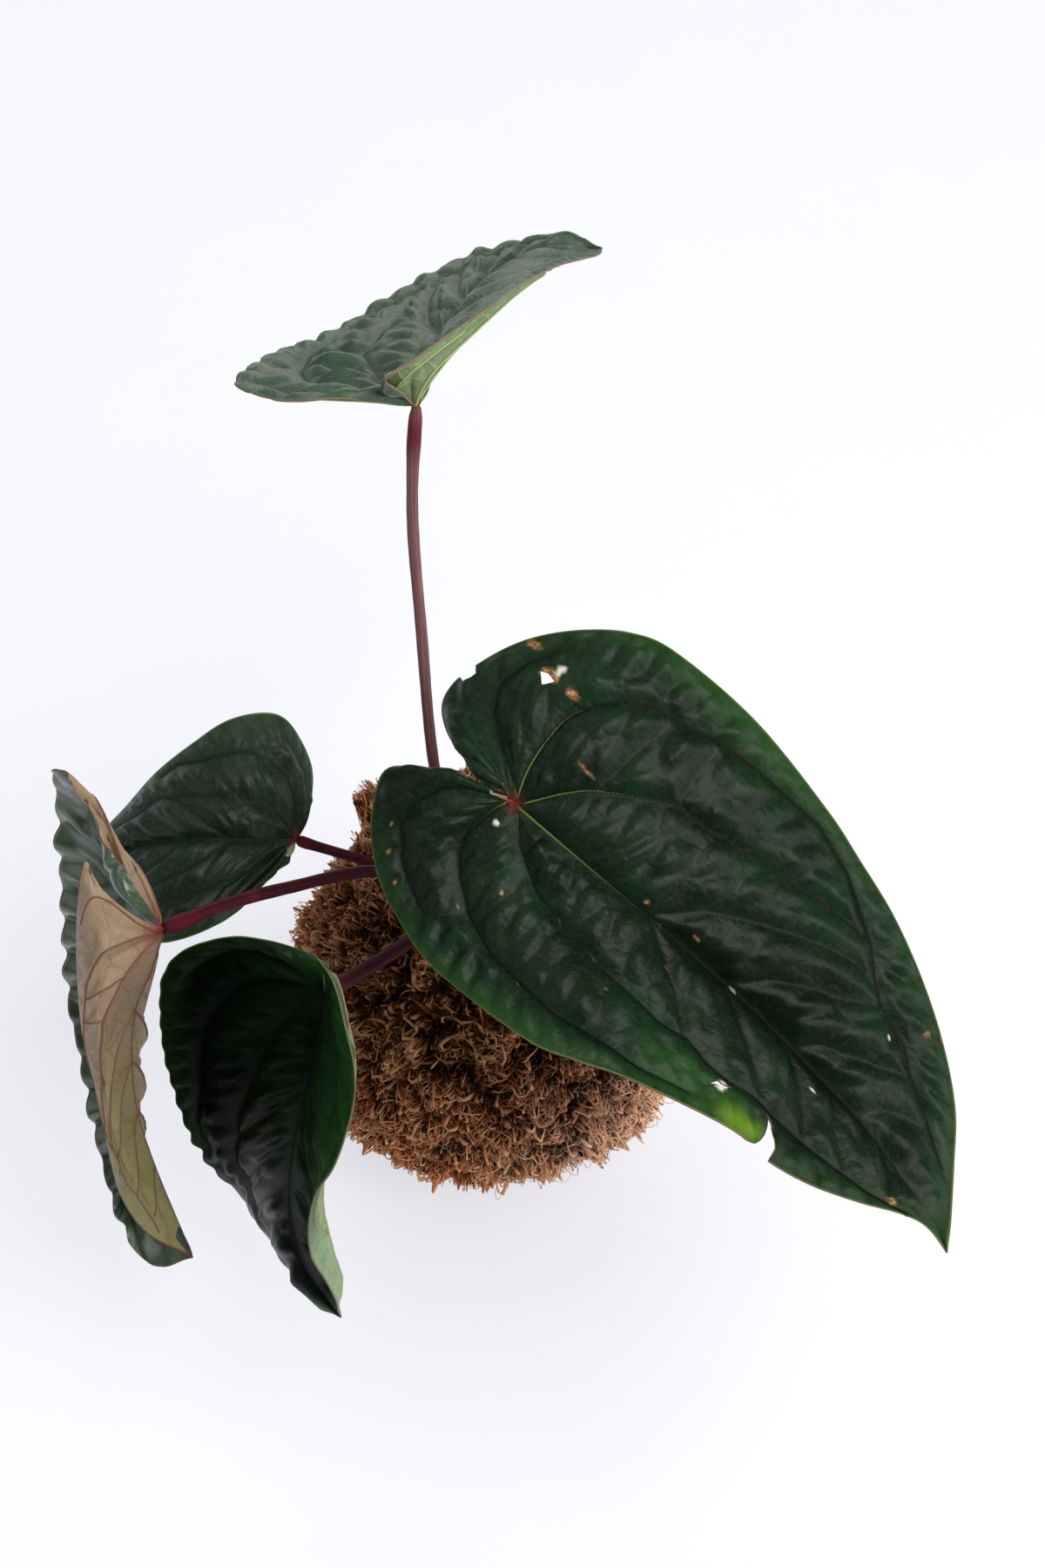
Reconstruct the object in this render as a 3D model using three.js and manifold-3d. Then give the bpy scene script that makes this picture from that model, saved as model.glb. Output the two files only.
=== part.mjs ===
// A heart-leaved foliage plant growing out of a ball of moss, in millimetres.
// +Z is up, and the origin is the middle of the small flat spot on which the moss ball rests.

import * as THREE from 'three';
import { ConvexGeometry } from 'three/addons/geometries/ConvexGeometry.js';
import { mergeVertices } from 'three/addons/utils/BufferGeometryUtils.js';
import Module from 'manifold-3d';

const wasm = await Module();
wasm.setup();

// Driving dimensions

const BALL_RADIUS = 57;             // moss wrap, without its tufts
const BALL_CENTRE_Z = 56;           // lower than the radius, so the ball sits on a flat spot
const BALL_LUMP = 2.4;              // height of the lumps on the wrap
const SOIL_RADIUS = 43;             // ball of soil and roots inside the wrap
const GAP = 0.3;                    // clearance between pieces that touch
const TUFT_COUNT = 105;
const TUFT_LENGTH = 3;              // how far a tuft stands out of the wrap
const TUFT_ROOT = 3.5;              // how deep its root sits
const TUFT_RADIUS = 4.6;
const CROWN = new THREE.Vector3(-7, -4, 111);   // middle of the rootstock's domed top
const CROWN_RADIUS = 9;
const CROWN_WAIST = 6.4;            // rootstock radius between its rings
const CROWN_FOOT = 7.2;             // radius of its lowest ring
const COLLAR_RADIUS = 13;           // opening in the moss round the rootstock
const BLADE_THICKNESS = 0.8;
const PILLOW_HEIGHT = 1.5;          // how far the blade swells between its veins
const PILLOW_WIDTH = 4.2;           // distance from a vein at which the swelling is nearly full
const PETIOLE_SIDES = 8;
const PETIOLE_STEPS = 16;
const NORMAL_PASSES = 1;
const STALK_FACING = new THREE.Vector3(0.6, -0.8, 0);   // no petiole runs this way
const TEAR_DEPTH = 5;               // half the height of the prism that cuts a tear

const COLOURS = {
  blade: 0x1f3320,
  petiole: 0x4a2630,
  crown: 0x6a5136,
  moss: 0x8a6242,
  soil: 0x33251b,
};

// Half a heart-shaped blade laid flat, from the sinus round the basal lobe to the apex.
// The units are midrib lengths: first the distance from the midrib, then along it.
const FLAT_OUTLINE = [
  [0, 0], [0.022, -0.075], [0.035, -0.145], [0.075, -0.192], [0.14, -0.198], [0.21, -0.165],
  [0.275, -0.115], [0.33, -0.045], [0.362, 0.05], [0.37, 0.15], [0.362, 0.29], [0.34, 0.42],
  [0.305, 0.56], [0.252, 0.7], [0.185, 0.815], [0.115, 0.895], [0.055, 0.945], [0.018, 0.975], [0, 1],
];

// Main veins of half a blade, in the same flat units: the two that run round inside the
// margin, the one into the basal lobe, and the feet and directions of the side veins.
const INNER_VEIN = [
  [0, 0], [0.05, 0.03], [0.111, 0.081], [0.181, 0.183], [0.219, 0.328], [0.245, 0.43],
  [0.255, 0.52], [0.235, 0.64], [0.18, 0.76], [0.1, 0.88], [0.03, 0.97],
];
const OUTER_VEIN = [
  [0, 0], [0.07, -0.03], [0.151, -0.04], [0.209, -0.015], [0.255, 0.03], [0.28, 0.09],
  [0.295, 0.17], [0.306, 0.26], [0.3, 0.38], [0.275, 0.48],
];
const LOBE_VEIN = [[0, 0], [0.04, -0.07], [0.09, -0.12], [0.15, -0.13], [0.23, -0.09], [0.29, -0.02]];
const SIDE_VEIN_FEET = [0.27, 0.42, 0.55, 0.66, 0.76, 0.85];
const SIDE_VEIN_RUN = 0.2;          // how far out a side vein reaches at the foot of the blade
const SIDE_VEIN_RISE = 0.55;
const MARGIN_VEINS = 11;            // short ribs that cross the band along the margin
const MARGIN_BAND = 0.76;           // where that band starts, from midrib 0 to margin 1

// Rays that span the blade start on the midrib, and all those of the basal lobe at the sinus.
const LOBE_SHARE = 0.2;
const RAY_CROWDING = 1.6;
const BELLY_STATIONS = [0.2, 0.5, 0.8];
const BELLY_FADE = 0.12;            // the bellies die out over this share at either end

// Each leaf: points on its midrib and on its two margins, from sinus to apex, and how far
// the middle of each half bellies out at three stations along it. `route` is its petiole, and
// `tears` are outlines on one half, as shares of the way to the margin and along the leaf.
const LEAVES = {
  right: {
    rows: 26,
    columns: 9,
    midrib: [[6.5, -37, 202.5], [28, -53, 193.5], [49.5, -65, 180], [69.5, -77.5, 165],
      [88.5, -94.5, 151], [105, -119, 141.5]],
    margins: [
      [[6.5, -37, 202.5], [2, -33.5, 204], [-3, -30, 204], [-16.5, -26.5, 202], [-22, -27.5, 200],
        [-25, -33, 196.5], [-25.5, -40, 192.5], [-23.5, -49, 188], [-19, -58, 186],
        [-10.5, -70.5, 185], [9, -89, 187.5], [20, -94.5, 187.5], [31.5, -98, 185.5],
        [53.5, -105, 176], [62.5, -108, 166], [72.5, -110.5, 159], [84, -112, 153],
        [94, -113, 149], [100, -114.5, 145.5], [105, -119, 141.5]],
      [[6.5, -37, 202.5], [3.5, -33, 203.5], [-4, -24.5, 203.5], [-8, -18, 203],
        [-9.5, -10.5, 203], [-7.5, -5.5, 204], [-3, -2.5, 206.5], [5, 0, 211], [13, 0.5, 215],
        [23, -0.5, 218.5],
        [33.5, -2.5, 220], [43.5, -6, 217.5], [62, -16, 205], [79, -28.5, 188],
        [87.5, -37, 178.5], [96, -47.5, 169.5], [103, -60, 160], [107.5, -73, 152.5],
        [109.5, -86, 147], [108.5, -97.5, 143.5], [107, -108.5, 141], [105, -119, 141.5]],
    ],
    bellies: [[[0, -1, 2], [-1, 0.5, -1.5], [1, 0, -1.5]], [[0, -1, 3], [0.5, -1.5, 2], [-0.5, 1.5, 1.5]]],
    route: [[-4.5, -9, 138], [-3, -14, 158], [-1, -19, 178], [1.2, -25.5, 193], [5.4, -35.3, 200.5]],
    petioleRadius: 1.9,
    tears: [
      { side: 0, outline: [[0.7, 0.747], [0.8, 0.752], [0.9, 0.75], [1.1, 0.742], [1.1, 0.772], [0.9, 0.772],
        [0.78, 0.766], [0.7, 0.757]] },
      { side: 1, outline: [[0.76, 0.247], [0.74, 0.257], [0.69, 0.267], [0.67, 0.253]] },
      { side: 1, outline: [[0.91, 0.158], [0.9, 0.166], [0.92, 0.172], [1.1, 0.175], [1.1, 0.153]] },
    ],
  },
  top: {
    rows: 22,
    columns: 8,
    midrib: [[-16, 50, 239.5], [-14, 65, 236.5], [-11, 84, 231.5], [-6, 102.5, 225],
      [0.5, 123.5, 215], [12.5, 143.5, 205], [31, 154, 196.5]],
    margins: [
      [[-16, 50, 239.5], [-18.5, 44.5, 250], [-21.5, 39, 260], [-16.5, 43.5, 260.5],
        [-6, 55.5, 260.5], [3.5, 69.5, 255.5], [10, 89, 242.5], [18, 115, 224],
        [24.5, 135.5, 208], [30, 148.5, 198.5], [31, 154, 196.5]],
      [[-16, 50, 239.5], [-26, 45, 248], [-34, 42, 252.5], [-43, 42.5, 251.5], [-51.5, 49, 246],
        [-59.5, 60.5, 237], [-52.5, 85.5, 221.5], [-45, 97.5, 214], [-35.5, 109, 210],
        [-24.5, 122.5, 207.5], [-8.5, 139, 204], [5, 148, 202], [19, 154, 200], [31, 154, 196.5]],
    ],
    bellies: [[[-1, -1, 1.5], [2, -7, 6], [1, -2.5, 2]], [[0, 1, 0.5], [0, 1, 0.5], [0, 1, 0.5]]],
    route: [[-12.8, 8.6, 153], [-15.5, 24.8, 189], [-17.9, 35.8, 215], [-18, 43, 228.4],
      [-16.1, 49.5, 238.9]],
    petioleRadius: 1.45,
  },
  left: {
    rows: 22,
    columns: 8,
    midrib: [[-74.5, -52.5, 173.5], [-80, -54, 156], [-86, -55.5, 140], [-89.5, -59, 121.5],
      [-90, -65, 102], [-86.5, -72.5, 82], [-79, -85.5, 59]],
    margins: [
      [[-74.5, -52.5, 173.5], [-84, -40, 174], [-91.5, -27, 175.5], [-97.5, -15, 179.5],
        [-103, -9, 178.5], [-105, -12, 164.5], [-106.5, -22, 141.5], [-108, -35.5, 117.5],
        [-106, -49, 99], [-103, -63, 82.5], [-98.5, -77, 67.5], [-90.5, -86.5, 58.5], [-79, -85.5, 59]],
      [[-74.5, -52.5, 173.5], [-82, -54.5, 178.5], [-85.5, -52, 186], [-87.5, -50.5, 193.5],
        [-89.5, -49, 197], [-92, -53.5, 189], [-95, -59, 169.5], [-97, -65, 144.5],
        [-96.5, -68, 125], [-96.5, -75, 99.5], [-95, -80, 83.5], [-89.5, -84, 70], [-79, -85.5, 59]],
    ],
    bellies: [[[1.5, 1.5, -2.5], [9.5, 2, -6], [5, 2.5, -3.5]], [[-1, -5, 4], [0, -11, 10.5], [2, -6, 5.5]]],
    route: [[-28.3, -13.1, 136.7], [-49, -28.9, 153.7], [-62, -40, 164], [-73.3, -51.4, 172.6]],
    petioleRadius: 1.6,
  },
  back: {
    rows: 18,
    columns: 7,
    midrib: [[-51.5, 7.5, 120.5], [-60, 1, 129.5], [-70.5, 0.5, 131.5], [-82, 2.5, 128],
      [-96.5, 7, 117], [-112, 9.5, 100]],
    margins: [
      [[-51.5, 7.5, 120.5], [-49.5, 13.5, 121.5], [-48.5, 19.5, 124.5], [-48.5, 25, 129],
        [-51, 29.5, 134.5], [-55, 32.5, 140.5], [-60.5, 32.5, 143], [-69.5, 31, 141.5],
        [-78.5, 28.5, 135.5], [-89.5, 25, 126.5], [-98.5, 20.5, 117], [-106.5, 16.5, 108.5],
        [-112, 9.5, 100]],
      [[-51.5, 7.5, 120.5], [-52.5, 4, 122], [-56.5, -4, 123.5], [-61, -12.5, 126], [-66, -20, 127],
        [-72, -24.5, 126.5], [-79.5, -25.5, 123], [-86.5, -23.5, 118.5], [-94.5, -16.5, 113.5],
        [-104, -4.5, 106], [-112, 9.5, 100]],
    ],
    bellies: [[[0, -1.5, 2.5], [0, -2.5, 3.5], [0, -1.5, 2.5]], [[0, -1, 1.5], [0, -2, 3], [0, -1.5, 2.5]]],
    route: [[-31, 1.2, 118.4], [-50.5, 7.1, 120.1]],
    petioleRadius: 1.4,
  },
  low: {
    rows: 22,
    columns: 8,
    midrib: [[-38.5, -57, 151.5], [-40.5, -61.5, 137], [-45, -68, 120.5], [-49.5, -75, 103],
      [-51.5, -82.5, 85.5], [-48.5, -91.5, 69.5], [-39, -101, 56]],
    margins: [
      [[-38.5, -57, 151.5], [-39, -53.5, 154], [-40, -51, 157.5], [-45, -49.5, 159.5],
        [-51.5, -47.5, 160], [-59.5, -45, 158], [-68.5, -44, 153.5], [-75.5, -44.5, 148],
        [-79.5, -46.5, 141], [-81, -50.5, 131], [-81.5, -54.5, 118], [-80, -59, 104],
        [-77, -64.5, 90.5], [-71.5, -69.5, 79.5], [-66, -72, 73], [-60.5, -79, 66.5],
        [-53.5, -86, 62.5], [-47.5, -95.5, 58], [-39, -101, 56]],
      [[-38.5, -57, 151.5], [-38.5, -57.5, 162.5], [-38.5, -60, 173.5], [-35, -66.5, 178.5],
        [-32.5, -72, 178.5], [-30.5, -79, 175], [-28.5, -86.5, 170.5], [-28.5, -92, 165],
        [-30.5, -97, 158], [-34, -101.5, 148.5], [-38.5, -103.5, 139], [-41, -106, 127.5],
        [-41.5, -107.5, 112.5], [-39.5, -106, 93.5], [-38.5, -103.5, 73.5], [-39, -101, 56]],
    ],
    bellies: [[[0, 0, 0], [0, 0, -0.5], [-2, 0, 2]], [[1, 3.5, -3.5], [2.5, 5, -9], [4.5, 3.5, -5]]],
    route: [[-19.7, -32.9, 135], [-34.5, -52, 147.6], [-37.8, -56.1, 150.8]],
    petioleRadius: 1.85,
  },
};

// Small helpers

function seededRandom(seed) {
  let state = seed;
  return () => {
    state = (Math.imul(state, 1664525) + 1013904223) >>> 0;
    return state / 4294967296;
  };
}

function vector([x, y, z]) {
  return new THREE.Vector3(x, y, z);
}

function smoothCurve(points) {
  return new THREE.CatmullRomCurve3(points.map(vector), false, 'catmullrom', 0.5);
}

function meshGeometry(points, triangles) {
  const geometry = new THREE.BufferGeometry();
  geometry.setAttribute('position', new THREE.Float32BufferAttribute(points.flatMap((p) => p.toArray()), 3));
  geometry.setIndex(triangles.flat());
  return geometry;
}

function solidFrom(geometry) {
  const bare = geometry.index ? geometry.clone() : geometry;
  bare.deleteAttribute('normal');
  bare.deleteAttribute('uv');
  const merged = mergeVertices(bare, 1e-4);
  return new wasm.Manifold(new wasm.Mesh({
    numProp: 3,
    vertProperties: new Float32Array(merged.attributes.position.array),
    triVerts: new Uint32Array(merged.index.array),
  }));
}

function geometryFrom(solid) {
  const { vertProperties, triVerts, numProp } = solid.getMesh();
  const positions = new Float32Array((vertProperties.length / numProp) * 3);
  for (let i = 0; i < positions.length / 3; i += 1) {
    for (let axis = 0; axis < 3; axis += 1) positions[i * 3 + axis] = vertProperties[i * numProp + axis];
  }
  const geometry = new THREE.BufferGeometry();
  geometry.setAttribute('position', new THREE.BufferAttribute(positions, 3));
  geometry.setIndex(new THREE.BufferAttribute(new Uint32Array(triVerts), 1));
  return geometry;
}

// Solids are joined in pairs, then the pairs in pairs, which keeps each join small
function joined(solids) {
  if (solids.length === 1) return solids[0];
  const middle = Math.ceil(solids.length / 2);
  return joined(solids.slice(0, middle)).add(joined(solids.slice(middle)));
}

function largestPiece(solid) {
  return solid.decompose().reduce((best, piece) => (piece.volume() > best.volume() ? piece : best));
}

// The blade: a curved half-surface on each side of the midrib, swollen between the veins

const flatCurve = new THREE.CatmullRomCurve3(
  FLAT_OUTLINE.map(([x, y]) => new THREE.Vector3(x, y, 0)), false, 'catmullrom', 0.5,
);

function rayFoot(share) {
  return share <= LOBE_SHARE ? 0 : ((share - LOBE_SHARE) / (1 - LOBE_SHARE)) ** RAY_CROWDING;
}

function flatPoint(across, share) {
  const edge = flatCurve.getPointAt(share);
  return [across * edge.x, (1 - across) * rayFoot(share) + across * edge.y];
}

function halfVeins() {
  const sideVeins = SIDE_VEIN_FEET.map((foot) => {
    const run = SIDE_VEIN_RUN * Math.min(1, 1.9 * (1 - foot) ** 0.8);
    return [[0, foot], [run * 0.5, foot + SIDE_VEIN_RISE * run * 0.35], [run, foot + SIDE_VEIN_RISE * run]];
  });
  const marginVeins = Array.from({ length: MARGIN_VEINS }, (_, i) => {
    const share = 0.14 + (0.7 * (i + 0.5)) / MARGIN_VEINS;
    return [flatPoint(MARGIN_BAND, share), flatPoint(1, share + 0.02)];
  });
  return [[[0, 0], [0, 1]], INNER_VEIN, OUTER_VEIN, LOBE_VEIN, ...sideVeins, ...marginVeins];
}

const VEINS = halfVeins();

function distanceToSegment([x, y], [ax, ay], [bx, by]) {
  const dx = bx - ax;
  const dy = by - ay;
  const along = THREE.MathUtils.clamp(((x - ax) * dx + (y - ay) * dy) / (dx * dx + dy * dy), 0, 1);
  return Math.hypot(x - ax - along * dx, y - ay - along * dy);
}

function pillow(across, share, length) {
  const point = flatPoint(across, share);
  let nearest = Infinity;
  for (const vein of VEINS) {
    for (let i = 1; i < vein.length; i += 1) {
      nearest = Math.min(nearest, distanceToSegment(point, vein[i - 1], vein[i]));
    }
  }
  return PILLOW_HEIGHT * (1 - Math.exp(-(((nearest * length) / PILLOW_WIDTH) ** 2)));
}

function stationWeight(station, share) {
  return BELLY_STATIONS.filter((other) => other !== station)
    .reduce((weight, other) => (weight * (share - other)) / (station - other), 1);
}

function bellyAt(bellies, share) {
  const fade = Math.min(1, share / BELLY_FADE) * Math.min(1, (1 - share) / BELLY_FADE);
  return BELLY_STATIONS.reduce(
    (sum, station, i) => sum.addScaledVector(vector(bellies[i]), stationWeight(station, share) * fade),
    new THREE.Vector3(),
  );
}

function bladeFrame(leaf) {
  const midrib = smoothCurve(leaf.midrib);
  const margins = leaf.margins.map(smoothCurve);
  return {
    length: midrib.getLength(),
    point(side, across, share) {
      const point = midrib.getPointAt(rayFoot(share));
      point.lerp(margins[side].getPointAt(share), across);
      return point.addScaledVector(bellyAt(leaf.bellies[side], share), 4 * across * (1 - across));
    },
  };
}

// A grid of rows along the blade and columns from one margin over the midrib to the other.
// All of the first row is the sinus and all of the last is the apex.
function bladeGrid(leaf) {
  const { rows, columns } = leaf;
  const frame = bladeFrame(leaf);
  const points = [];
  const heights = [];
  const grid = [];
  const place = (point, height) => {
    points.push(point);
    heights.push(height);
    return points.length - 1;
  };
  const sinus = place(frame.point(0, 0, 0), 0);
  const apex = place(frame.point(0, 0, 1), 0);
  for (let row = 0; row <= rows; row += 1) {
    const share = row / rows;
    grid.push([]);
    for (let column = -columns; column <= columns; column += 1) {
      const side = column < 0 ? 0 : 1;
      const across = Math.abs(column) / columns;
      let index;
      if (row === 0 || (column === 0 && share <= LOBE_SHARE)) index = sinus;
      else if (row === rows) index = apex;
      else index = place(frame.point(side, across, share), pillow(across, share, frame.length));
      grid[row].push(index);
    }
  }
  return { points, heights, grid, rows, width: 2 * columns };
}

function gridTriangles({ grid, rows, width }) {
  const triangles = [];
  const add = (a, b, c) => {
    if (a !== b && b !== c && c !== a) triangles.push([a, b, c]);
  };
  for (let row = 0; row < rows; row += 1) {
    for (let column = 0; column < width; column += 1) {
      const a = grid[row][column];
      const b = grid[row][column + 1];
      const c = grid[row + 1][column + 1];
      const d = grid[row + 1][column];
      if (column < width / 2) {
        add(a, c, b);
        add(a, d, c);
      } else {
        add(a, d, b);
        add(b, d, c);
      }
    }
  }
  return triangles;
}

// Upward directions at the points, evened out so that the two faces of the blade never cross
function pointNormals(points, triangles) {
  let normals = points.map(() => new THREE.Vector3());
  const edge = new THREE.Vector3();
  for (const [a, b, c] of triangles) {
    const normal = points[b].clone().sub(points[a]).cross(edge.copy(points[c]).sub(points[a]));
    for (const corner of [a, b, c]) normals[corner].add(normal);
  }
  for (let pass = 0; pass < NORMAL_PASSES; pass += 1) {
    const unit = normals.map((normal) => normal.clone().normalize());
    normals = points.map(() => new THREE.Vector3());
    for (const triangle of triangles) {
      for (const corner of triangle) triangle.forEach((other) => normals[corner].add(unit[other]));
    }
  }
  return normals.map((normal) => normal.normalize());
}

// The blade is joined from one thin plate under each triangle of the grid, so that it stays
// one clean solid where it folds tightly.
function wholeBlade(leaf, halfThickness) {
  const sheet = bladeGrid(leaf);
  const triangles = gridTriangles(sheet);
  const normals = pointNormals(sheet.points, triangles);
  const face = (offset) => sheet.points.map(
    (point, i) => point.clone().addScaledVector(normals[i], sheet.heights[i] + offset),
  );
  const upper = face(halfThickness);
  const lower = face(-halfThickness);
  const plates = triangles.map(
    (corners) => solidFrom(new ConvexGeometry(corners.flatMap((i) => [upper[i], lower[i]]))),
  );
  return largestPiece(joined(plates));
}

// A tear is a prism through the blade, standing on its outline

function tearSolid(leaf, { side, outline }) {
  const frame = bladeFrame(leaf);
  const contour = outline.map(([across, share]) => new THREE.Vector2(across, share));
  if (THREE.ShapeUtils.isClockWise(contour)) contour.reverse();
  const corners = contour.map(({ x, y }) => frame.point(side, x, y));
  const triangles = THREE.ShapeUtils.triangulateShape(contour, []);
  const [a, b, c] = triangles[0].map((i) => corners[i]);
  const lift = b.clone().sub(a).cross(c.clone().sub(a)).setLength(TEAR_DEPTH);
  const count = corners.length;
  const points = [...corners.map((p) => p.clone().add(lift)), ...corners.map((p) => p.clone().sub(lift))];
  const faces = [...triangles, ...triangles.map(([i, j, k]) => [i + count, k + count, j + count])];
  corners.forEach((_, i) => {
    const next = (i + 1) % count;
    faces.push([i, i + count, next], [next, i + count, next + count]);
  });
  return solidFrom(meshGeometry(points, faces));
}

function bladeSolid(leaf) {
  const whole = wholeBlade(leaf, BLADE_THICKNESS / 2);
  const torn = (leaf.tears ?? []).reduce((blade, tear) => blade.subtract(tearSolid(leaf, tear)), whole);
  return largestPiece(torn);
}

// A petiole: a slim stalk from the rootstock to the sinus, a little swollen under the blade

function petioleRoute(leaf) {
  const first = vector(leaf.route[0]).sub(CROWN).normalize();
  const start = CROWN.clone().addScaledVector(first, CROWN_RADIUS + GAP);
  return new THREE.CatmullRomCurve3([start, ...leaf.route.map(vector)], false, 'centripetal');
}

function petioleSwelling(share) {
  return 1 + 0.18 * Math.exp(-(((share - 0.93) / 0.07) ** 2)) + 0.25 * Math.exp(-((share / 0.08) ** 2));
}

function petioleGeometry(leaf) {
  const route = petioleRoute(leaf);
  const geometry = new THREE.CylinderGeometry(1, 1, 1, PETIOLE_SIDES, PETIOLE_STEPS);
  const position = geometry.attributes.position;
  for (let i = 0; i < position.count; i += 1) {
    const share = THREE.MathUtils.clamp(position.getY(i) + 0.5, 0, 1);
    const tangent = route.getTangentAt(share);
    const across = STALK_FACING.clone().cross(tangent).normalize();
    const up = tangent.clone().cross(across);
    const radius = leaf.petioleRadius * petioleSwelling(share);
    const point = route.getPointAt(share)
      .addScaledVector(across, position.getX(i) * radius)
      .addScaledVector(up, -position.getZ(i) * radius);
    position.setXYZ(i, point.x, point.y, point.z);
  }
  return geometry;
}

function petioleSolid(leaf, blade) {
  return largestPiece(solidFrom(petioleGeometry(leaf)).subtract(blade));
}

// The rootstock: a short ringed stem that stands on the soil ball and carries the petioles

function crownGeometry() {
  const foot = SOIL_RADIUS + BALL_CENTRE_Z + GAP - CROWN.z;
  const ring = -foot / 4;
  const profile = new THREE.Path()
    .moveTo(0, foot)
    .lineTo(CROWN_WAIST, foot)
    .lineTo(CROWN_FOOT, foot + ring)
    .lineTo(CROWN_WAIST, foot + 2 * ring)
    .lineTo(CROWN_RADIUS - 0.8, foot + 3 * ring)
    .absarc(0, 0, CROWN_RADIUS, 0, Math.PI / 2);
  return new THREE.LatheGeometry(profile.getPoints(6), 14)
    .rotateX(Math.PI / 2)
    .translate(CROWN.x, CROWN.y, CROWN.z);
}

// The ball: shaggy moss wrapped round soil and roots

function lump({ x, y, z }) {
  const broad = Math.sin(2.1 * x + 1.3) * Math.cos(1.7 * y - 0.4) + 0.6 * Math.sin(3.3 * y + 2.2 * z);
  const fine = Math.sin(8.3 * x - 2.7 * z) * Math.cos(7.1 * y + 3.9 * z) + Math.sin(9.7 * z + 4.4 * y);
  return 0.35 * broad + 0.22 * fine;
}

function lumpySphere(radius, detail, relief) {
  const geometry = new THREE.IcosahedronGeometry(1, detail);
  const position = geometry.attributes.position;
  const direction = new THREE.Vector3();
  for (let i = 0; i < position.count; i += 1) {
    direction.fromBufferAttribute(position, i).normalize();
    const reach = radius + relief * lump(direction);
    position.setXYZ(i, direction.x * reach, direction.y * reach, direction.z * reach);
  }
  return geometry.translate(0, 0, BALL_CENTRE_Z);
}

function tuft(direction, random) {
  const length = TUFT_LENGTH * (0.4 + random());
  const root = BALL_RADIUS + BALL_LUMP * lump(direction) - TUFT_ROOT;
  const reach = length + TUFT_ROOT;
  const geometry = new THREE.ConeGeometry(TUFT_RADIUS * (0.8 + 0.6 * random()), reach, 4);
  geometry.translate(0, reach / 2, 0);
  const lean = new THREE.Vector3(random() - 0.5, random() - 0.5, random() - 0.5).multiplyScalar(0.7);
  const aim = direction.clone().add(lean.multiplyScalar(length / TUFT_LENGTH)).normalize();
  geometry.applyQuaternion(new THREE.Quaternion().setFromUnitVectors(new THREE.Vector3(0, 1, 0), aim));
  return geometry.translate(direction.x * root, direction.y * root, direction.z * root + BALL_CENTRE_Z);
}

function tufts() {
  const random = seededRandom(7);
  const solids = [];
  for (let i = 0; i < TUFT_COUNT; i += 1) {
    const z = 1 - (2 * (i + 0.5)) / TUFT_COUNT;
    const turn = i * Math.PI * (3 - Math.sqrt(5)) + 0.6 * random();
    const ring = Math.sqrt(1 - z * z);
    const direction = new THREE.Vector3(ring * Math.cos(turn), ring * Math.sin(turn), z);
    const nearCollar = Math.hypot(direction.x * BALL_RADIUS - CROWN.x, direction.y * BALL_RADIUS - CROWN.y);
    if (z > 0.5 && nearCollar < COLLAR_RADIUS + 9) continue;
    solids.push(solidFrom(tuft(direction, random)));
  }
  return joined(solids);
}

function mossSolid() {
  const wrap = solidFrom(lumpySphere(BALL_RADIUS, 7, BALL_LUMP));
  const hollow = solidFrom(lumpySphere(SOIL_RADIUS + GAP, 3, 0));
  const height = 2 * BALL_RADIUS;
  const aboveRest = solidFrom(new THREE.BoxGeometry(4 * BALL_RADIUS, 4 * BALL_RADIUS, height * 2)
    .translate(0, 0, height));
  const collar = solidFrom(new THREE.CylinderGeometry(COLLAR_RADIUS, COLLAR_RADIUS, BALL_RADIUS, 20)
    .rotateX(Math.PI / 2)
    .translate(CROWN.x, CROWN.y, CROWN.z));
  const shaggy = wrap.add(tufts());
  return largestPiece(shaggy.intersect(aboveRest).subtract(hollow).subtract(collar));
}

// Assembly

const plant = new THREE.Group();

function addPiece(name, geometry, colour, roughness) {
  const material = new THREE.MeshStandardMaterial({ color: colour, roughness, metalness: 0 });
  const mesh = new THREE.Mesh(geometry, material);
  mesh.name = name;
  plant.add(mesh);
}

addPiece('moss_wrap', geometryFrom(mossSolid()), COLOURS.moss, 0.95);
addPiece('soil_ball', lumpySphere(SOIL_RADIUS, 3, 0), COLOURS.soil, 0.95);
addPiece('crown', crownGeometry(), COLOURS.crown, 0.85);
for (const [name, leaf] of Object.entries(LEAVES)) {
  const room = wholeBlade(leaf, BLADE_THICKNESS / 2 + GAP);
  addPiece(`leaf_${name}`, geometryFrom(bladeSolid(leaf)), COLOURS.blade, 0.4);
  addPiece(`petiole_${name}`, geometryFrom(petioleSolid(leaf, room)), COLOURS.petiole, 0.5);
}

export default plant;
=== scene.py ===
import math

import bmesh
import bpy
import numpy as np
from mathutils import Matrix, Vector


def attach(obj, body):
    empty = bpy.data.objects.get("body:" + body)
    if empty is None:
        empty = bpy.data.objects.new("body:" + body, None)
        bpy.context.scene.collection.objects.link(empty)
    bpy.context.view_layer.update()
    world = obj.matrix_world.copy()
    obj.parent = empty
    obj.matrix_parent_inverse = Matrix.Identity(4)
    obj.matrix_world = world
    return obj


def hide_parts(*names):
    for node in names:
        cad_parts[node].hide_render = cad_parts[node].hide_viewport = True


# A heart-leaved foliage plant growing out of a ball of moss. The part's own lengths are in
# millimetres here, as in its drawing, and become metres when a mesh is written.

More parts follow.
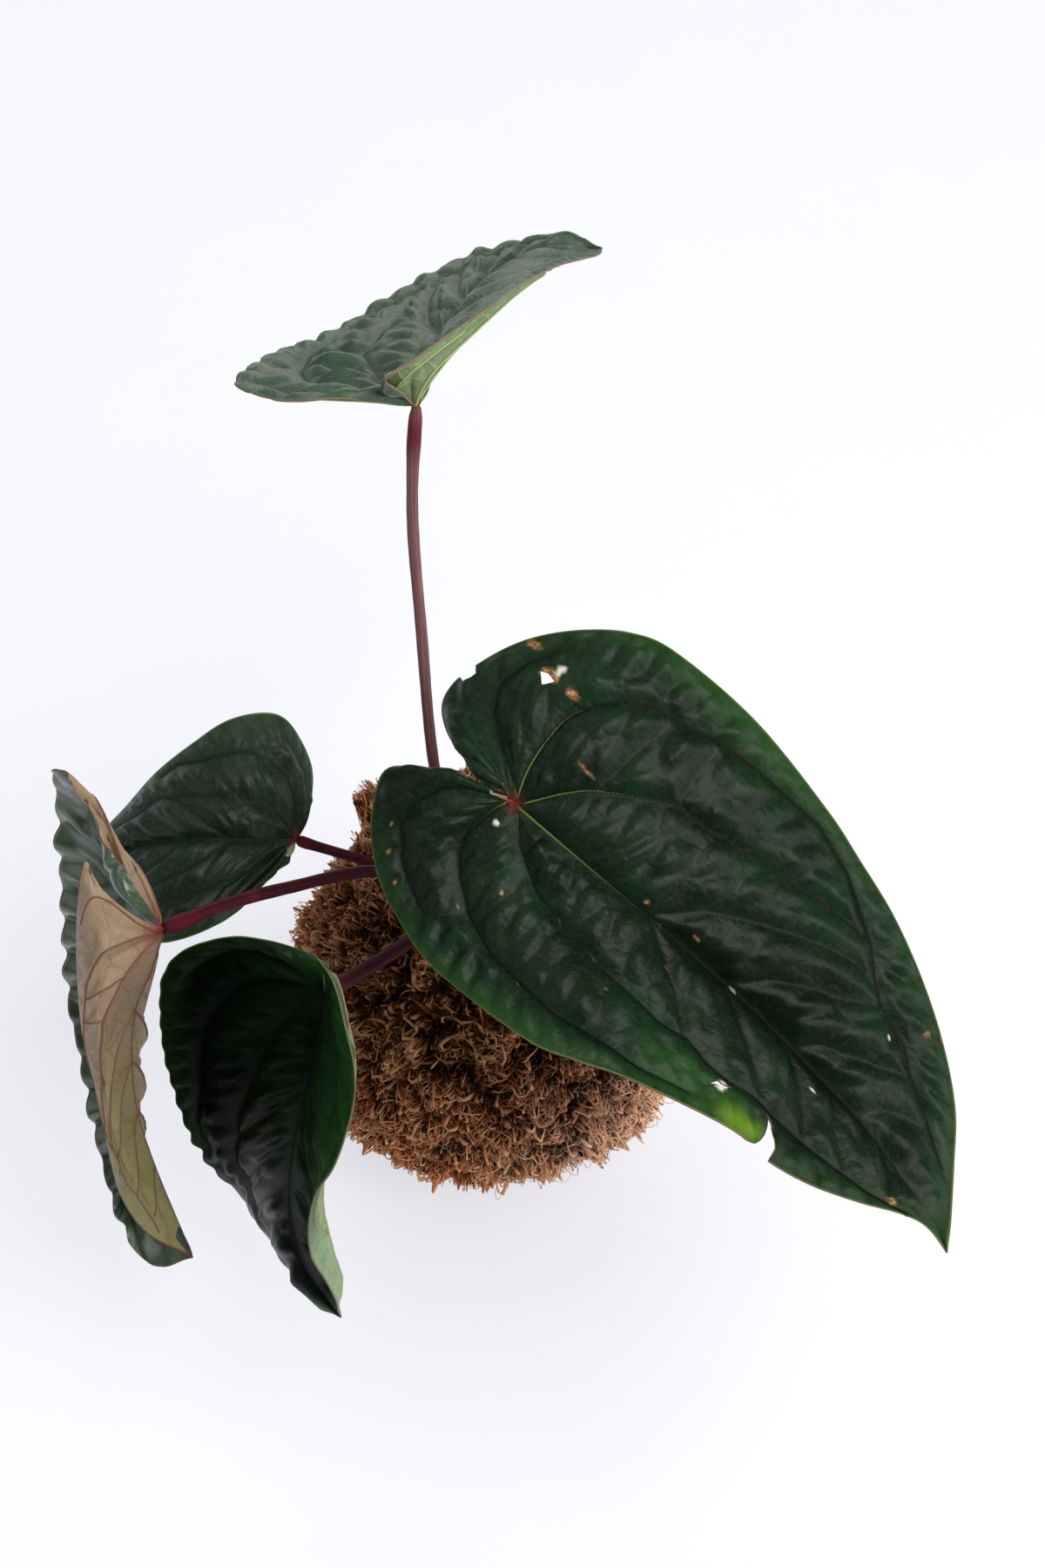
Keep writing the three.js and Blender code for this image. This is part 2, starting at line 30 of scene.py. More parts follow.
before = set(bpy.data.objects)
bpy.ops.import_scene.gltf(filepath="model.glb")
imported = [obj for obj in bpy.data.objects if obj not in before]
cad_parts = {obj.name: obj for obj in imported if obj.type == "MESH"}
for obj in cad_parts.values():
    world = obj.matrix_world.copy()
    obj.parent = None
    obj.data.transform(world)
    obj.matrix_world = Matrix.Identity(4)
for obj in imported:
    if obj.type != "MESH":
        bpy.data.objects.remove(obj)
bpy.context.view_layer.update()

MM = 0.001
FULL_TURN = 2 * np.pi
BALL_RADIUS = 57
BALL_CENTRE = [0, 0, 56]
BALL_LUMP = 2.4
BALL_TOP = 30                       # height over the centre from which the rootstock is near
BED_FLOOR = 0.15                    # lowest point of the bed
STRAND_FLOOR = 0.45                 # and of the strands' middle lines
STRAND_WIDTH, STRAND_HEIGHT = 1.25, 0.85    # strands are a little flat: wider along the ball
LOOSE_ENDS = 0.3                    # share of the strands whose ends stand off the ball
CROWN = np.array([-7.0, -4.0, 111.0])
CROWN_RADIUS = 9
CROWN_FOOT_Z = 99.3
CROWN_CLEARANCE = 9.6               # no moss strand comes nearer to the rootstock's axis
CROWN_HOLLOW = 15                   # and within this distance the strands lie lower
TUFT_COUNT = 320
GAP_DEPTH = 2.6                     # of the gaps between tufts
BLADE_THICKNESS = 0.4
PILLOW_WIDTH = 3.8                  # from a vein to where the blade is fully raised
THIN_VEIN = 1.6                     # how much further away a vein of no thickness counts
CELL_STRETCH = 1.9                  # cells are this much longer across the blade than along it
SCALLOP_WIDTH = 2.2
SCALLOP_DEPTH = 5
LOBE_SHARE = 0.2                    # of the margin, round the basal lobe
RAY_CROWDING = 1.6
BELLY_STATIONS = [0.2, 0.5, 0.8]
BELLY_FADE = 0.12
VEIN_DEPTH = 0.17                   # of a vein's axis under the blade's middle surface
VEIN_END_RADIUS = 0.25
VEIN_STEP = 1.6
MARGIN_RIB_COUNT = 26
MARGIN_RIBS_FROM, MARGIN_RIBS_RUN = 0.12, 0.78     # the part of the margin that has them
MARGIN_RIB_START = 0.8              # share of the way from the midrib to the margin
MARGIN_RIB_END = 0.985
MARGIN_RIB_LEAN = 0.012

# Half a heart-shaped blade laid flat, from the sinus round the basal lobe to the apex, in
# thousandths of the midrib: out from the midrib, then along it.
FLAT_OUTLINE = np.array([
    (0, 0), (22, -75), (35, -145), (75, -192), (140, -198), (210, -165), (275, -115), (330, -45), (362, 50),
    (370, 150), (362, 290), (340, 420), (305, 560), (252, 700), (185, 815), (115, 895), (55, 945),
    (18, 975), (0, 1000),
]) / 1000

# Veins of each half in the same thousandths, and how thick each is at its foot. Half 0 is the
# half with the first margin of a leaf, and half 1 the other.
VEINS = {side: [(thick, np.array(line) / 1000) for thick, line in veins] for side, veins in {
    0: [
        (1, [(2, -6), (38, -22), (88, -34), (132, -31), (175, -6), (227, 47), (265, 115), (276, 198),
             (285, 262), (286, 310), (291, 360), (302, 431), (282, 520)]),
        (0.9, [(10, 16), (52, 48), (105, 117), (123, 177), (144, 259), (162, 334), (182, 409), (175, 463),
               (194, 512), (193, 563), (171, 614), (162, 663), (151, 721), (135, 787), (115, 852),
               (93, 896), (73, 931)]),
        (0.7, [(0, 285), (56, 347), (109, 401), (171, 453)]),
        (0.7, [(2, 445), (63, 506), (111, 560), (157, 607)]),
        (0.6, [(2, 585), (50, 630), (95, 672), (150, 718)]),
        (0.6, [(2, 690), (71, 732), (98, 766), (125, 800)]),
        (0.5, [(2, 800), (40, 840), (85, 880)]),
        (0.8, [(3, -13), (33, -72), (61, -107), (107, -132), (158, -133), (215, -101), (275, -41)]),
    ],
    1: [
        (1, [(8, 3), (54, -13), (108, -21), (163, -20), (202, -1), (234, 26), (266, 64), (276, 100),
             (296, 169), (310, 250), (315, 325), (317, 384), (293, 472), (237, 564)]),
        (0.9, [(9, 14), (58, 47), (97, 79), (129, 122), (172, 188), (176, 243), (194, 320), (202, 392),
               (220, 463), (226, 516), (234, 572), (195, 616), (168, 657), (152, 731), (126, 772),
               (112, 811), (91, 865), (77, 905)]),
        (0.6, [(109, 84), (150, 88), (196, 90), (270, 101)]),
        (0.6, [(172, 188), (234, 180), (289, 176)]),
        (0.7, [(2, 275), (68, 337), (104, 399), (145, 476), (172, 537), (188, 586), (177, 643)]),
        (0.7, [(2, 449), (54, 494), (93, 552), (123, 608), (168, 657)]),
        (0.6, [(4, 600), (39, 635), (58, 679), (89, 733), (120, 778)]),
        (0.5, [(3, 751), (43, 788), (64, 820), (84, 852)]),
        (0.8, [(8, 3), (42, -38), (66, -76), (96, -111), (140, -134), (192, -126), (244, -99)]),
    ],
}.items()}

# Each leaf as in the part's drawing: midrib, margins, bellies and petiole. Both margins also start and end
# with the midrib's end points. Before that come the fineness of its mesh, how strongly its halves are quilted
# between the veins and in cells of what size, and its marks, among them patches of painted light and painted
# shade: where each lies, in thousandths of the midrib, and its half width and height in millimetres.
LEAVES = {
    "right": {
        "rows": 230, "columns": 88, "pillow": 1.9, "quilt": (1.5, 1.6), "cell": 8, "ripple": 0.3,
        "seed": 11, "calm": ((1, 1, 1, 1), (1, 1, 1, 1)), "valley": 1.6, "petiole_radius": 1.9,
        # Of these marks the scars and chalky spots are the leaf's own; the lit and glow spots are painted
        # light shining through the blade, and the last kind is painted shade.
        "marks": {
            "scar": [
                (231, -134, 1.1, 1.9), (197, -35, 1, 1.5), (114, 53, 0.35, 2), (-86, 891, 0.8, 1.7),
                (199, 737, 0.7, 0.8), (221, 759, 0.5, 0.7), (200, -78, 1.7, 2.4), (18, 258, 0.4, 0.8),
                (22, 357, 0.4, 0.7), (-165, -148, 0.8, 0.4), (-209, -129, 0.8, 0.5), (-254, -96, 0.6, 0.6),
                (-226, 20, 0.4, 0.4), (-151, 74, 0.5, 0.4), (-144, 259, 0.35, 0.35),
                (-123, 177, 0.35, 0.35), (-283, 184, 0.35, 0.4), (-67, 358, 0.35, 0.35), (0, 300, 0.3, 0.5),
                (-190, 310, 0.3, 0.3), (100, 200, 0.25, 0.3)],
            "chalk": [
                (216, -71, 1.6, 0.7), (-47, -3, 0.7, 0.8), (0, 462, 0.35, 0.6), (-48, 665, 0.4, 0.4),
                (135, 703, 0.3, 0.7), (-223, 553, 2.4, 1.1)],
            "lit": [
                (-262, 465, 3.5, 6), (-250, 500, 3, 4), (-370, 200, 5, 45), (380, 250, 8, 60),
                (-260, 550, 7, 18)],
            "glow": [(-266, 610, 3.8, 4.4), (-245, 645, 3, 2.6)],
            # painted shade in the valley along the midrib and where the lobe curls down
            "painted_shade": [(0, 460, 9, 26), (-20, 680, 5, 16), (60, 500, 6, 14), (-120, -170, 13, 5)],
        },
        "midrib": [[6.5, -37, 202.5], [28, -53, 193.5], [49.5, -65, 180], [69.5, -77.5, 165],
                   [88.5, -94.5, 151], [105, -119, 141.5]],
        "margins": [
            [[2, -36, 203], [-3.5, -33.4, 202.8], [-10, -29.6, 202.4], [-16.5, -27.4, 201.8],
             [-22.5, -27.4, 200.8], [-25, -33, 196.5], [-25.5, -40, 192.5], [-23.5, -49, 188],
             [-19, -58, 186], [-10.5, -70.5, 185], [9, -89, 187.5], [20, -94.5, 187.5], [31.5, -98, 185.5],
             [53.5, -105, 176], [62.5, -108, 166], [72.5, -110.5, 159], [84, -112, 153], [94, -113, 149],
             [100, -114.5, 145.5]],
            [[3.5, -33, 203.5], [-4, -24.5, 203.5], [-8, -18, 203], [-9.5, -10.5, 203], [-7.5, -5.5, 204],
             [-3, -2.5, 206.5], [5, 0, 211], [13, 0.5, 215], [23, -0.5, 218.5], [33.5, -2.5, 220],
             [43.5, -6, 217.5], [62, -16, 205], [79, -28.5, 188], [87.5, -37, 178.5], [96, -47.5, 169.5],
             [103, -60, 160], [107.5, -73, 152.5], [109.5, -86, 147], [108.5, -97.5, 143.5],
             [107, -108.5, 141]],
        ],
        "bellies": [[[0, -1, 2], [-1, 0.5, -1.5], [1, 0, -1.5]],
                    [[0, -1, 3], [0.5, -1.5, 2], [-0.5, 1.5, 1.5]]],
        "route": [[-4.5, -9, 138], [-3, -14, 158], [-1, -19, 178], [1.2, -25.5, 193], [5.4, -35.3, 200.5]],
        "tears": [
            (0, [[0.7, 0.747], [0.8, 0.752], [0.88, 0.752], [0.93, 0.75], [0.965, 0.746], [0.985, 0.74],
                 [1.003, 0.73], [1.1, 0.7], [1.1, 0.772], [0.9, 0.772], [0.78, 0.766], [0.7, 0.757]]),
            (0, [[0.785, 0.679], [0.735, 0.688], [0.712, 0.705], [0.752, 0.698]]),
            (1, [[0.76, 0.247], [0.74, 0.257], [0.69, 0.267], [0.67, 0.253]]),
            (1, [[0.91, 0.158], [0.9, 0.166], [0.92, 0.172], [1.1, 0.175], [1.1, 0.153]]),
        ],
    },
    "top": {
        "rows": 190, "columns": 74, "pillow": 2.4, "quilt": (0.4, 2), "cell": 9.5, "ripple": 0.2,
        "seed": 12, "ribs": 17, "calm": ((1, 1, 1, 1), (1, 1, 0.5, 0.5)), "sink": (0, 1.7),
        "scallop": ((0, 0, 0, 0), (0.6, 0.8, 0.8, 0.5)), "petiole_radius": 1.45,
        "midrib": [[-16, 50, 239.5], [-14, 65, 236.5], [-11, 84, 231.5], [-6, 102.5, 225],
                   [0.5, 123.5, 215], [12.5, 143.5, 205], [31, 154, 196.5]],
        "margins": [
            [[-18.5, 44.5, 250], [-21.5, 39, 259.5], [-16.5, 43.5, 259], [-6, 55.5, 258.7],
             [3.5, 69.5, 254.5], [10, 89, 242.5], [18, 115, 224], [24.5, 135.5, 208], [30, 148.5, 198.5]],
            [[-26, 44.5, 246.5], [-34, 41, 250.5], [-43, 41.5, 249], [-51.5, 48, 244], [-59.5, 60, 236.5],
             [-52.5, 85.5, 221.5], [-45, 97.5, 214], [-35.5, 109, 210], [-24.5, 122.5, 207.5],
             [-8.5, 139, 204], [5, 148, 202], [19, 154, 200]],
        ],
        "bellies": [[[-1, -1, 1.5], [2, -7, 6], [1, -2.5, 2]],
                    [[0, 1, 0.5], [0, 1, 0.5], [0, 1, 0.5]]],
        "route": [[-13.8, 8.6, 153], [-16.2, 24.8, 189], [-17.5, 35.8, 215], [-17.1, 43, 228.4],
                  [-16.1, 49.5, 238.9]],
    },
    "left": {
        "rows": 200, "columns": 76, "pillow": 1.8, "quilt": (2.8, 0.35), "cell": 10, "ripple": 0.3,
        "seed": 13, "ribs": 17, "rib": 0.08, "calm": ((0.4, 0.1, 0, 0.2), (1, 1, 1, 1)),
        "scallop": ((0.7, 0.8, 0.9, 1), (0, 0, 0, 0)), "petiole_radius": 1.6,
        "midrib": [[-74.5, -52.5, 173.5], [-80, -54, 156], [-86, -55.5, 140], [-89.5, -59, 121.5],
                   [-90, -65, 102], [-86.5, -72.5, 82], [-79, -85.5, 59]],
        "margins": [
            [[-84, -40, 174], [-91.5, -27, 175.5], [-97.5, -15, 179.5], [-103, -9, 178.5],
             [-105, -12, 164.5], [-106.5, -22, 141.5], [-108, -35.5, 117.5], [-106, -49, 99],
             [-103, -63, 82.5], [-98.5, -77, 67.5], [-90.5, -86.5, 58.5]],
            [[-82, -54.5, 178.5], [-85.5, -52, 186], [-87.5, -50.5, 193.5], [-89.5, -49, 197],
             [-92, -53.5, 189], [-95, -59, 169.5], [-97, -65, 144.5], [-96.5, -68, 125], [-96.5, -75, 99.5],
             [-95, -80, 83.5], [-89.5, -84, 70]],
        ],
        "bellies": [[[1.5, 1.5, -2.5], [9.5, 2, -6], [5, 2.5, -3.5]],
                    [[-1, -5, 4], [0, -11, 10.5], [2, -6, 5.5]]],
        "route": [[-28.3, -13.1, 136.7], [-49, -28.9, 153.7], [-62, -40, 164], [-73.3, -51.4, 172.6]],
    },
    "back": {
        "rows": 150, "columns": 58, "pillow": 1.8, "quilt": (1.3, 1.4), "cell": 7, "ripple": 0.3,
        "seed": 14, "ribs": 18, "calm": ((1, 1, 1, 1), (1, 1, 1, 1)), "petiole_radius": 1.4,
        "midrib": [[-51.5, 7.5, 120.5], [-60, 1, 129.5], [-70.5, 0.5, 131.5], [-82, 2.5, 128],
                   [-96.5, 7, 117], [-112, 9.5, 100]],
        "margins": [
            [[-49.5, 13.5, 121.5], [-48.5, 19.5, 124.5], [-48.5, 25, 129], [-51, 29.5, 134.5],
             [-55, 32.5, 140.5], [-60.5, 32.5, 143], [-69.5, 31, 141.5], [-78.5, 28.5, 135.5],
             [-89.5, 25, 126.5], [-98.5, 20.5, 117], [-106.5, 16.5, 108.5]],
            [[-52.5, 4, 122], [-56.5, -4, 123.5], [-61, -12.5, 126], [-66, -20, 127], [-72, -24.5, 126.5],
             [-79.5, -25.5, 123], [-86.5, -23.5, 118.5], [-94.5, -16.5, 113.5], [-104, -4.5, 106]],
        ],
        "bellies": [[[0, -1.5, 2.5], [0, -2.5, 3.5], [0, -1.5, 2.5]],
                    [[0, -1, 1.5], [0, -2, 3], [0, -1.5, 2.5]]],
        "route": [[-31, 1.2, 118.4], [-50.5, 7.1, 120.1]],
    },
    "low": {
        "rows": 200, "columns": 80, "pillow": 1.9, "quilt": (1.7, 1), "cell": 8, "ripple": 0.3, "seed": 15,
        "ribs": 20, "calm": ((1, 0.8, 0.6, 0.6), (1, 1, 1, 1)), "valley": 1,
        "scallop": ((0.15, 0.2, 1.5, 1.5), (0, 0, 0, 0)), "tuck": 0.6, "tip": 0.85, "petiole_radius": 1.85,
        # The lit spots are painted light shining through the blade near its margins; the sheen spot makes the
        # upper face glossier there.
        "marks": {
            "lit": [(300, 300, 26, 60), (200, -100, 20, 18)],
            "sheen": [(-100, 780, 16, 34)],
        },
        "midrib": [[-38.5, -57, 151.5], [-40.5, -61.5, 137], [-45, -68, 120.5], [-49.5, -75, 103],
                   [-51.5, -82.5, 85.5], [-48.5, -91.5, 69.5], [-39, -101, 56]],
        "margins": [
            [[-39, -53.5, 154], [-40, -51, 157.5], [-45, -49.5, 159.5], [-51.5, -47.5, 160],
             [-59.5, -45, 158], [-68.5, -44, 153.5], [-75.5, -44.5, 148], [-79.5, -46.5, 141],
             [-81, -50.5, 131], [-81.5, -54.5, 118], [-80, -59, 104], [-77, -64.5, 90.5],
             [-71.5, -69.5, 79.5], [-66, -72, 73], [-60.5, -79, 66.5], [-53.5, -86, 62.5],
             [-47.5, -95.5, 58]],
            [[-38.5, -57.5, 162.5], [-38.5, -60, 173.5], [-35, -66.5, 178.5], [-32.5, -72, 178.5],
             [-30.5, -79, 175], [-28.5, -86.5, 170.5], [-28.5, -92, 165], [-30.5, -97, 158],
             [-34, -101.5, 148.5], [-38.5, -103.5, 139], [-41, -106, 127.5], [-41.5, -107.5, 112.5],
             [-39.5, -106, 93.5], [-38.5, -103.5, 73.5]],
        ],
        "bellies": [[[0, 0, 0], [0, 0, -0.5], [-2, 0, 2]],
                    [[1, 3.5, -3.5], [2.5, 5, -9], [4.5, 3.5, -5]]],
        "route": [[-19.7, -32.9, 135], [-34.5, -52, 147.6], [-37.8, -56.1, 150.8]],
    },
}


# Node wiring

class Value:
    """A socket's output, on which arithmetic adds Math nodes."""

    def __init__(self, finish, socket):
        self.finish = finish
        self.socket = socket

    def maths(self, operation, *values):
        return self.finish.node("ShaderNodeMath", {"operation": operation}, dict(enumerate(values)))

    def __add__(self, other): return self.maths("ADD", self, other)
    def __radd__(self, other): return self.maths("ADD", other, self)
    def __sub__(self, other): return self.maths("SUBTRACT", self, other)
    def __rsub__(self, other): return self.maths("SUBTRACT", other, self)
    def __mul__(self, other): return self.maths("MULTIPLY", self, other)
    def __rmul__(self, other): return self.maths("MULTIPLY", other, self)
    def __pow__(self, other): return self.maths("POWER", self, other)

    def between(self, low, high):
        """0 at low, 1 at high, with soft ends."""
        return self.finish.node("ShaderNodeMapRange", {"interpolation_type": "SMOOTHSTEP"},
                                {"Value": self, "From Min": low, "From Max": high})

    def fading(self, low, high):
        """1 at low, 0 at high, with soft ends."""
        return 1 - self.between(low, high)


def linear(shade):
    """A colour given as it looks on screen, 0 to 255, in the shader's own linear light."""
    levels = [level / 255 for level in shade]
    return (*(level / 12.92 if level <= 0.04045 else ((level + 0.055) / 1.055) ** 2.4
              for level in levels), 1.0)


class Tones:
    """The colours and shares of a finish: those of another finish with changes."""

    def __init__(self, base=None, **changes):
        vars(self).update(vars(base) if base else {}, **changes)


class Finish:
    """A material under construction."""

    def __init__(self, name):
        self.material = bpy.data.materials.new(name)
        self.material.use_nodes = True
        self.tree = self.material.node_tree
        self.tree.nodes.clear()

    def node(self, kind, settings, sockets, output=0):
        made = self.tree.nodes.new(kind)
        for name, setting in settings.items():
            setattr(made, name, setting)
        for name, value in sockets.items():
            if isinstance(value, Value):
                self.tree.links.new(value.socket, made.inputs[name])
            else:
                made.inputs[name].default_value = value
        return Value(self, made.outputs[output])

    def ramp(self, factor, shades):
        """Blends through evenly spaced shades."""
        ramped = self.node("ShaderNodeValToRGB", {}, {0: factor})
        elements = ramped.socket.node.color_ramp.elements
        while len(elements) < len(shades):
            elements.new(1.0)
        for i, shade in enumerate(shades):
            elements[i].position = i / (len(shades) - 1)
            elements[i].color = linear(shade)
        return ramped

    def blend(self, factor, *shades):
        first, second = (linear(shade) if isinstance(shade, tuple) else shade for shade in shades)
        return self.node("ShaderNodeMix", {"data_type": "RGBA"}, {0: factor, 6: first, 7: second}, output=2)

    def layered(self, shade, *layers):
        """A shade with others laid over it, each as strongly as its share says."""
        for share, over in layers:
            shade = self.blend(share, shade, over)
        return shade

    def noise(self, place, scale, detail, roughness=0.6, distortion=0.0, output=0):
        return self.node("ShaderNodeTexNoise", {}, {
            "Vector": place, "Scale": scale, "Detail": detail, "Roughness": roughness,
            "Distortion": distortion}, output)

    def cells(self, place, scale, feature="DISTANCE_TO_EDGE", randomness=1.0):
        return self.node("ShaderNodeTexVoronoi", {"feature": feature},
                         {"Vector": place, "Scale": scale, "Randomness": randomness})

    def stretched(self, place, scale):
        return self.node("ShaderNodeMapping", {}, {"Vector": place, "Scale": scale})

    def part(self, vector, axis):
        return self.node("ShaderNodeSeparateXYZ", {}, {"Vector": vector}, axis)

    def attribute(self, name, output="Fac"):
        return self.node("ShaderNodeAttribute", {"attribute_name": name}, {}, output)

    def mark(self, name):
        return self.node("ShaderNodeClamp", {}, {0: self.attribute(name)})

    def object_place(self):
        return self.node("ShaderNodeTexCoord", {}, {}, "Object")

    def surface(self, shade, roughness, specular=0.5, relief=None, more=None, grooves=None, dull=None):
        """The finished surface. `relief` is a height, its strength and its depth in metres.
        Where `grooves` is near 1, a second, dark shader with the given sockets takes over and paints shade
        into the grooves."""
        sockets = {"Base Color": shade, "Roughness": roughness, "Specular IOR Level": specular,
                   **(more or {})}
        if relief:
            sockets["Normal"] = self.node("ShaderNodeBump", {},
                                          dict(zip(("Height", "Strength", "Distance"), relief)))
        shader = self.node("ShaderNodeBsdfPrincipled", {}, sockets)
        if grooves:
            second = self.node("ShaderNodeBsdfPrincipled", {}, dull)
            shader = self.node("ShaderNodeMixShader", {}, {0: grooves, 1: shader, 2: second})
        made = self.tree.nodes.new("ShaderNodeOutputMaterial")
        self.tree.links.new(shader.socket, made.inputs["Surface"])
        return self.material


# Finishes

def blade_upper_finish(name, tones):
    """Satin upper face of a blade: dark between the veins, with painted shade in and beside the vein grooves
    and in patches, painted light shining through the blade along the margin and in patches, and the leaf's
    own scars, chalky spots and reddish sinus."""
    finish = Finish(name)
    flat = finish.attribute("flat", "Vector")
    vein, edge = finish.attribute("vein_mm"), finish.attribute("edge_mm")
    junction, scar = finish.mark("junction"), finish.mark("scar")
    broad = finish.noise(flat, 0.045, 4)
    fine = finish.noise(flat, 0.9, 4)
    shade = finish.layered(
        tones.deep,
        (broad.between(0.35, 0.7), tones.mid),
        (finish.attribute("cell_mm").fading(0.1, 1.2) * tones.cell_light, tones.cell),
        # painted light shining through the thin margin
        (edge.fading(1.0, 9.0) * 0.5, tones.margin),
        # painted shade beside the veins and deeper in their grooves
        (vein.fading(0.2, 2.2) * 0.24, tones.vein_dark),
        (vein.fading(0.25, 0.85) * tones.groove, tones.vein_dark),
        (fine.between(0.45, 0.8) * 0.32, tones.bright),
        # painted light shining through the blade
        (finish.mark("lit") * 0.55, tones.lit),
        # painted shade in patches
        (finish.mark("painted_shade") * 0.75, tones.vein_dark),
        # yellow-green painted light shining through the blade
        (finish.mark("glow") * 0.9, tones.glow),
        (edge.fading(0.15, 0.55) * tones.line_share, tones.line),
        (junction, tones.junction),
        (scar, finish.blend(fine.between(0.4, 0.7), (120, 78, 46), (186, 150, 112))),
        (finish.mark("chalk"), (225, 222, 205)),
    )
    net = finish.cells(flat, 0.3, randomness=0.9)
    pores = finish.noise(flat, 6.0, 2, 0.5)
    relief = net.between(0.0, 0.25) * 0.3 + broad * 0.6 + fine * 0.4 + pores * 0.2
    gloss = tones.gloss + fine * 0.12 + scar * 0.25 + vein.fading(0.2, 1.1) * 0.1
    coat = edge.fading(3.0, 11.0) * tones.rim_gloss + finish.mark("sheen") * 0.8
    # painted shade: in and beside the vein grooves a dark matt shader without reflection takes over
    grooves = (vein.fading(0.25, 0.8) * 0.7 + vein.fading(0.4, 2.0) * 0.3) * tones.dull
    return finish.surface(
        shade, gloss, tones.specular, (relief, 0.4, 0.0005), {"Coat Weight": coat, "Coat Roughness": 0.3},
        grooves * (1 - junction),
        {"Base Color": linear(tones.vein_dark), "Roughness": 0.8, "Specular IOR Level": 0.0})


def blade_under_finish(name, tones):
    """Matt underside of a blade, pale, with a net of darker or lighter small veins."""
    finish = Finish(name)
    flat = finish.attribute("flat", "Vector")
    low = finish.part(flat, 1)
    edge = finish.attribute("edge_mm")
    broad = finish.noise(flat, 0.05, 4)
    fine = finish.noise(flat, 1.1, 4)
    net = finish.cells(flat, 0.36)
    drift = finish.noise(flat, 0.12, 2, 0.5, output=1)
    wavy = finish.node("ShaderNodeVectorMath", {"operation": "MULTIPLY_ADD"},
                       {0: drift, 1: (7.0, 7.0, 0.0), 2: flat})
    meshes = finish.cells(finish.stretched(wavy, (1.0, 0.72, 0.0)), 0.088)
    shade = finish.layered(
        tones.pale,
        (broad.between(0.4, 0.66) * 0.6, tones.flush),
        (low.between(tones.low_from, tones.low_to), tones.low),
        (net.fading(0.02, 0.12) * 0.12, tones.net),
        (meshes.fading(0.008, 0.034) * tones.cell_share, tones.net),
        (finish.attribute("vein_mm").fading(0.2, 1.0) * 0.3, tones.rib),
        (fine.between(0.5, 0.85) * 0.2, tones.bloom),
        # painted shade along the edge towards the sinus end
        (edge.fading(4.0, 9.0) * low.fading(45, 70) * tones.hem_share, tones.hem),
        (edge.fading(0.2, 0.65) * tones.line_share, tones.line),
        (finish.attribute("junction") ** 0.15, tones.junction),
    )
    relief = meshes.fading(0.0, 0.07) * 0.6 + net.fading(0.0, 0.12) * 0.3 + fine * 0.5
    return finish.surface(shade, 0.46 + fine * 0.14, 0.4, (relief, 0.4, 0.0004))


def blade_rim_finish(name, tones):
    """The blade's thin cut edge."""
    finish = Finish(name)
    grain = finish.noise(finish.attribute("flat", "Vector"), 1.5, 3)
    shade = finish.layered(tones.line, (grain.between(0.3, 0.7) * 0.4, (60, 40, 30)),
                           (finish.attribute("junction") ** 0.15, tones.rim_sinus))
    return finish.surface(shade, 0.5 + grain * 0.15)


def vein_finish(name, tones):
    """Veins: light near the sinus on the upper face, sunk in the blade's colour further out,
    and standing out on the underside."""
    finish = Finish(name)
    fade = finish.attribute("fade")
    mottle = finish.noise(finish.object_place(), 400, 3)
    above = finish.blend(fade.between(tones.fade_from, tones.fade_to), tones.near, tones.far)
    below = finish.blend(fade.between(0.1, 0.9), tones.rib_near, tones.rib_far)
    shade = finish.blend(finish.attribute("upper").between(-0.15, 0.15), below, above)
    shade = finish.blend(fade.between(0.0, 0.035), tones.junction, shade)
    shade = finish.blend(mottle.between(0.45, 0.8) * 0.3, shade, tones.mottle)
    return finish.surface(shade, 0.5 + mottle * 0.15, 0.06, (mottle, 0.3, 0.0002))


def petiole_finish(name, tones):
    """Ribbed skin of a stalk, streaked along it, darker and browner towards its foot, with its own tone at
    the knee.
    """
    finish = Finish(name)
    run = finish.attribute("run", "Vector")
    streak = finish.noise(finish.stretched(run, (9.0, 9.0, 0.05)), 1.0, 4)
    blotch = finish.noise(run, 0.12, 4)
    speck = finish.noise(run, 2.6, 3)
    shade = finish.layered(
        tones.dark,
        (streak.between(0.35, 0.7), tones.mid),
        (blotch.between(0.45, 0.75) * 0.7, tones.warm),
        (finish.attribute("groove").between(0.2, 0.9) * 0.55, tones.groove),
        (finish.part(run, 2).fading(5, 75) * tones.foot_share, tones.foot),
        (finish.mark("knee") * tones.knee_share, tones.knee),
        (speck.between(0.62, 0.75) * 0.25, tones.speck),
    )
    return finish.surface(shade, 0.46 + blotch * 0.16, 0.06, (streak * 0.8 + speck * 0.35, 0.45, 0.0004))


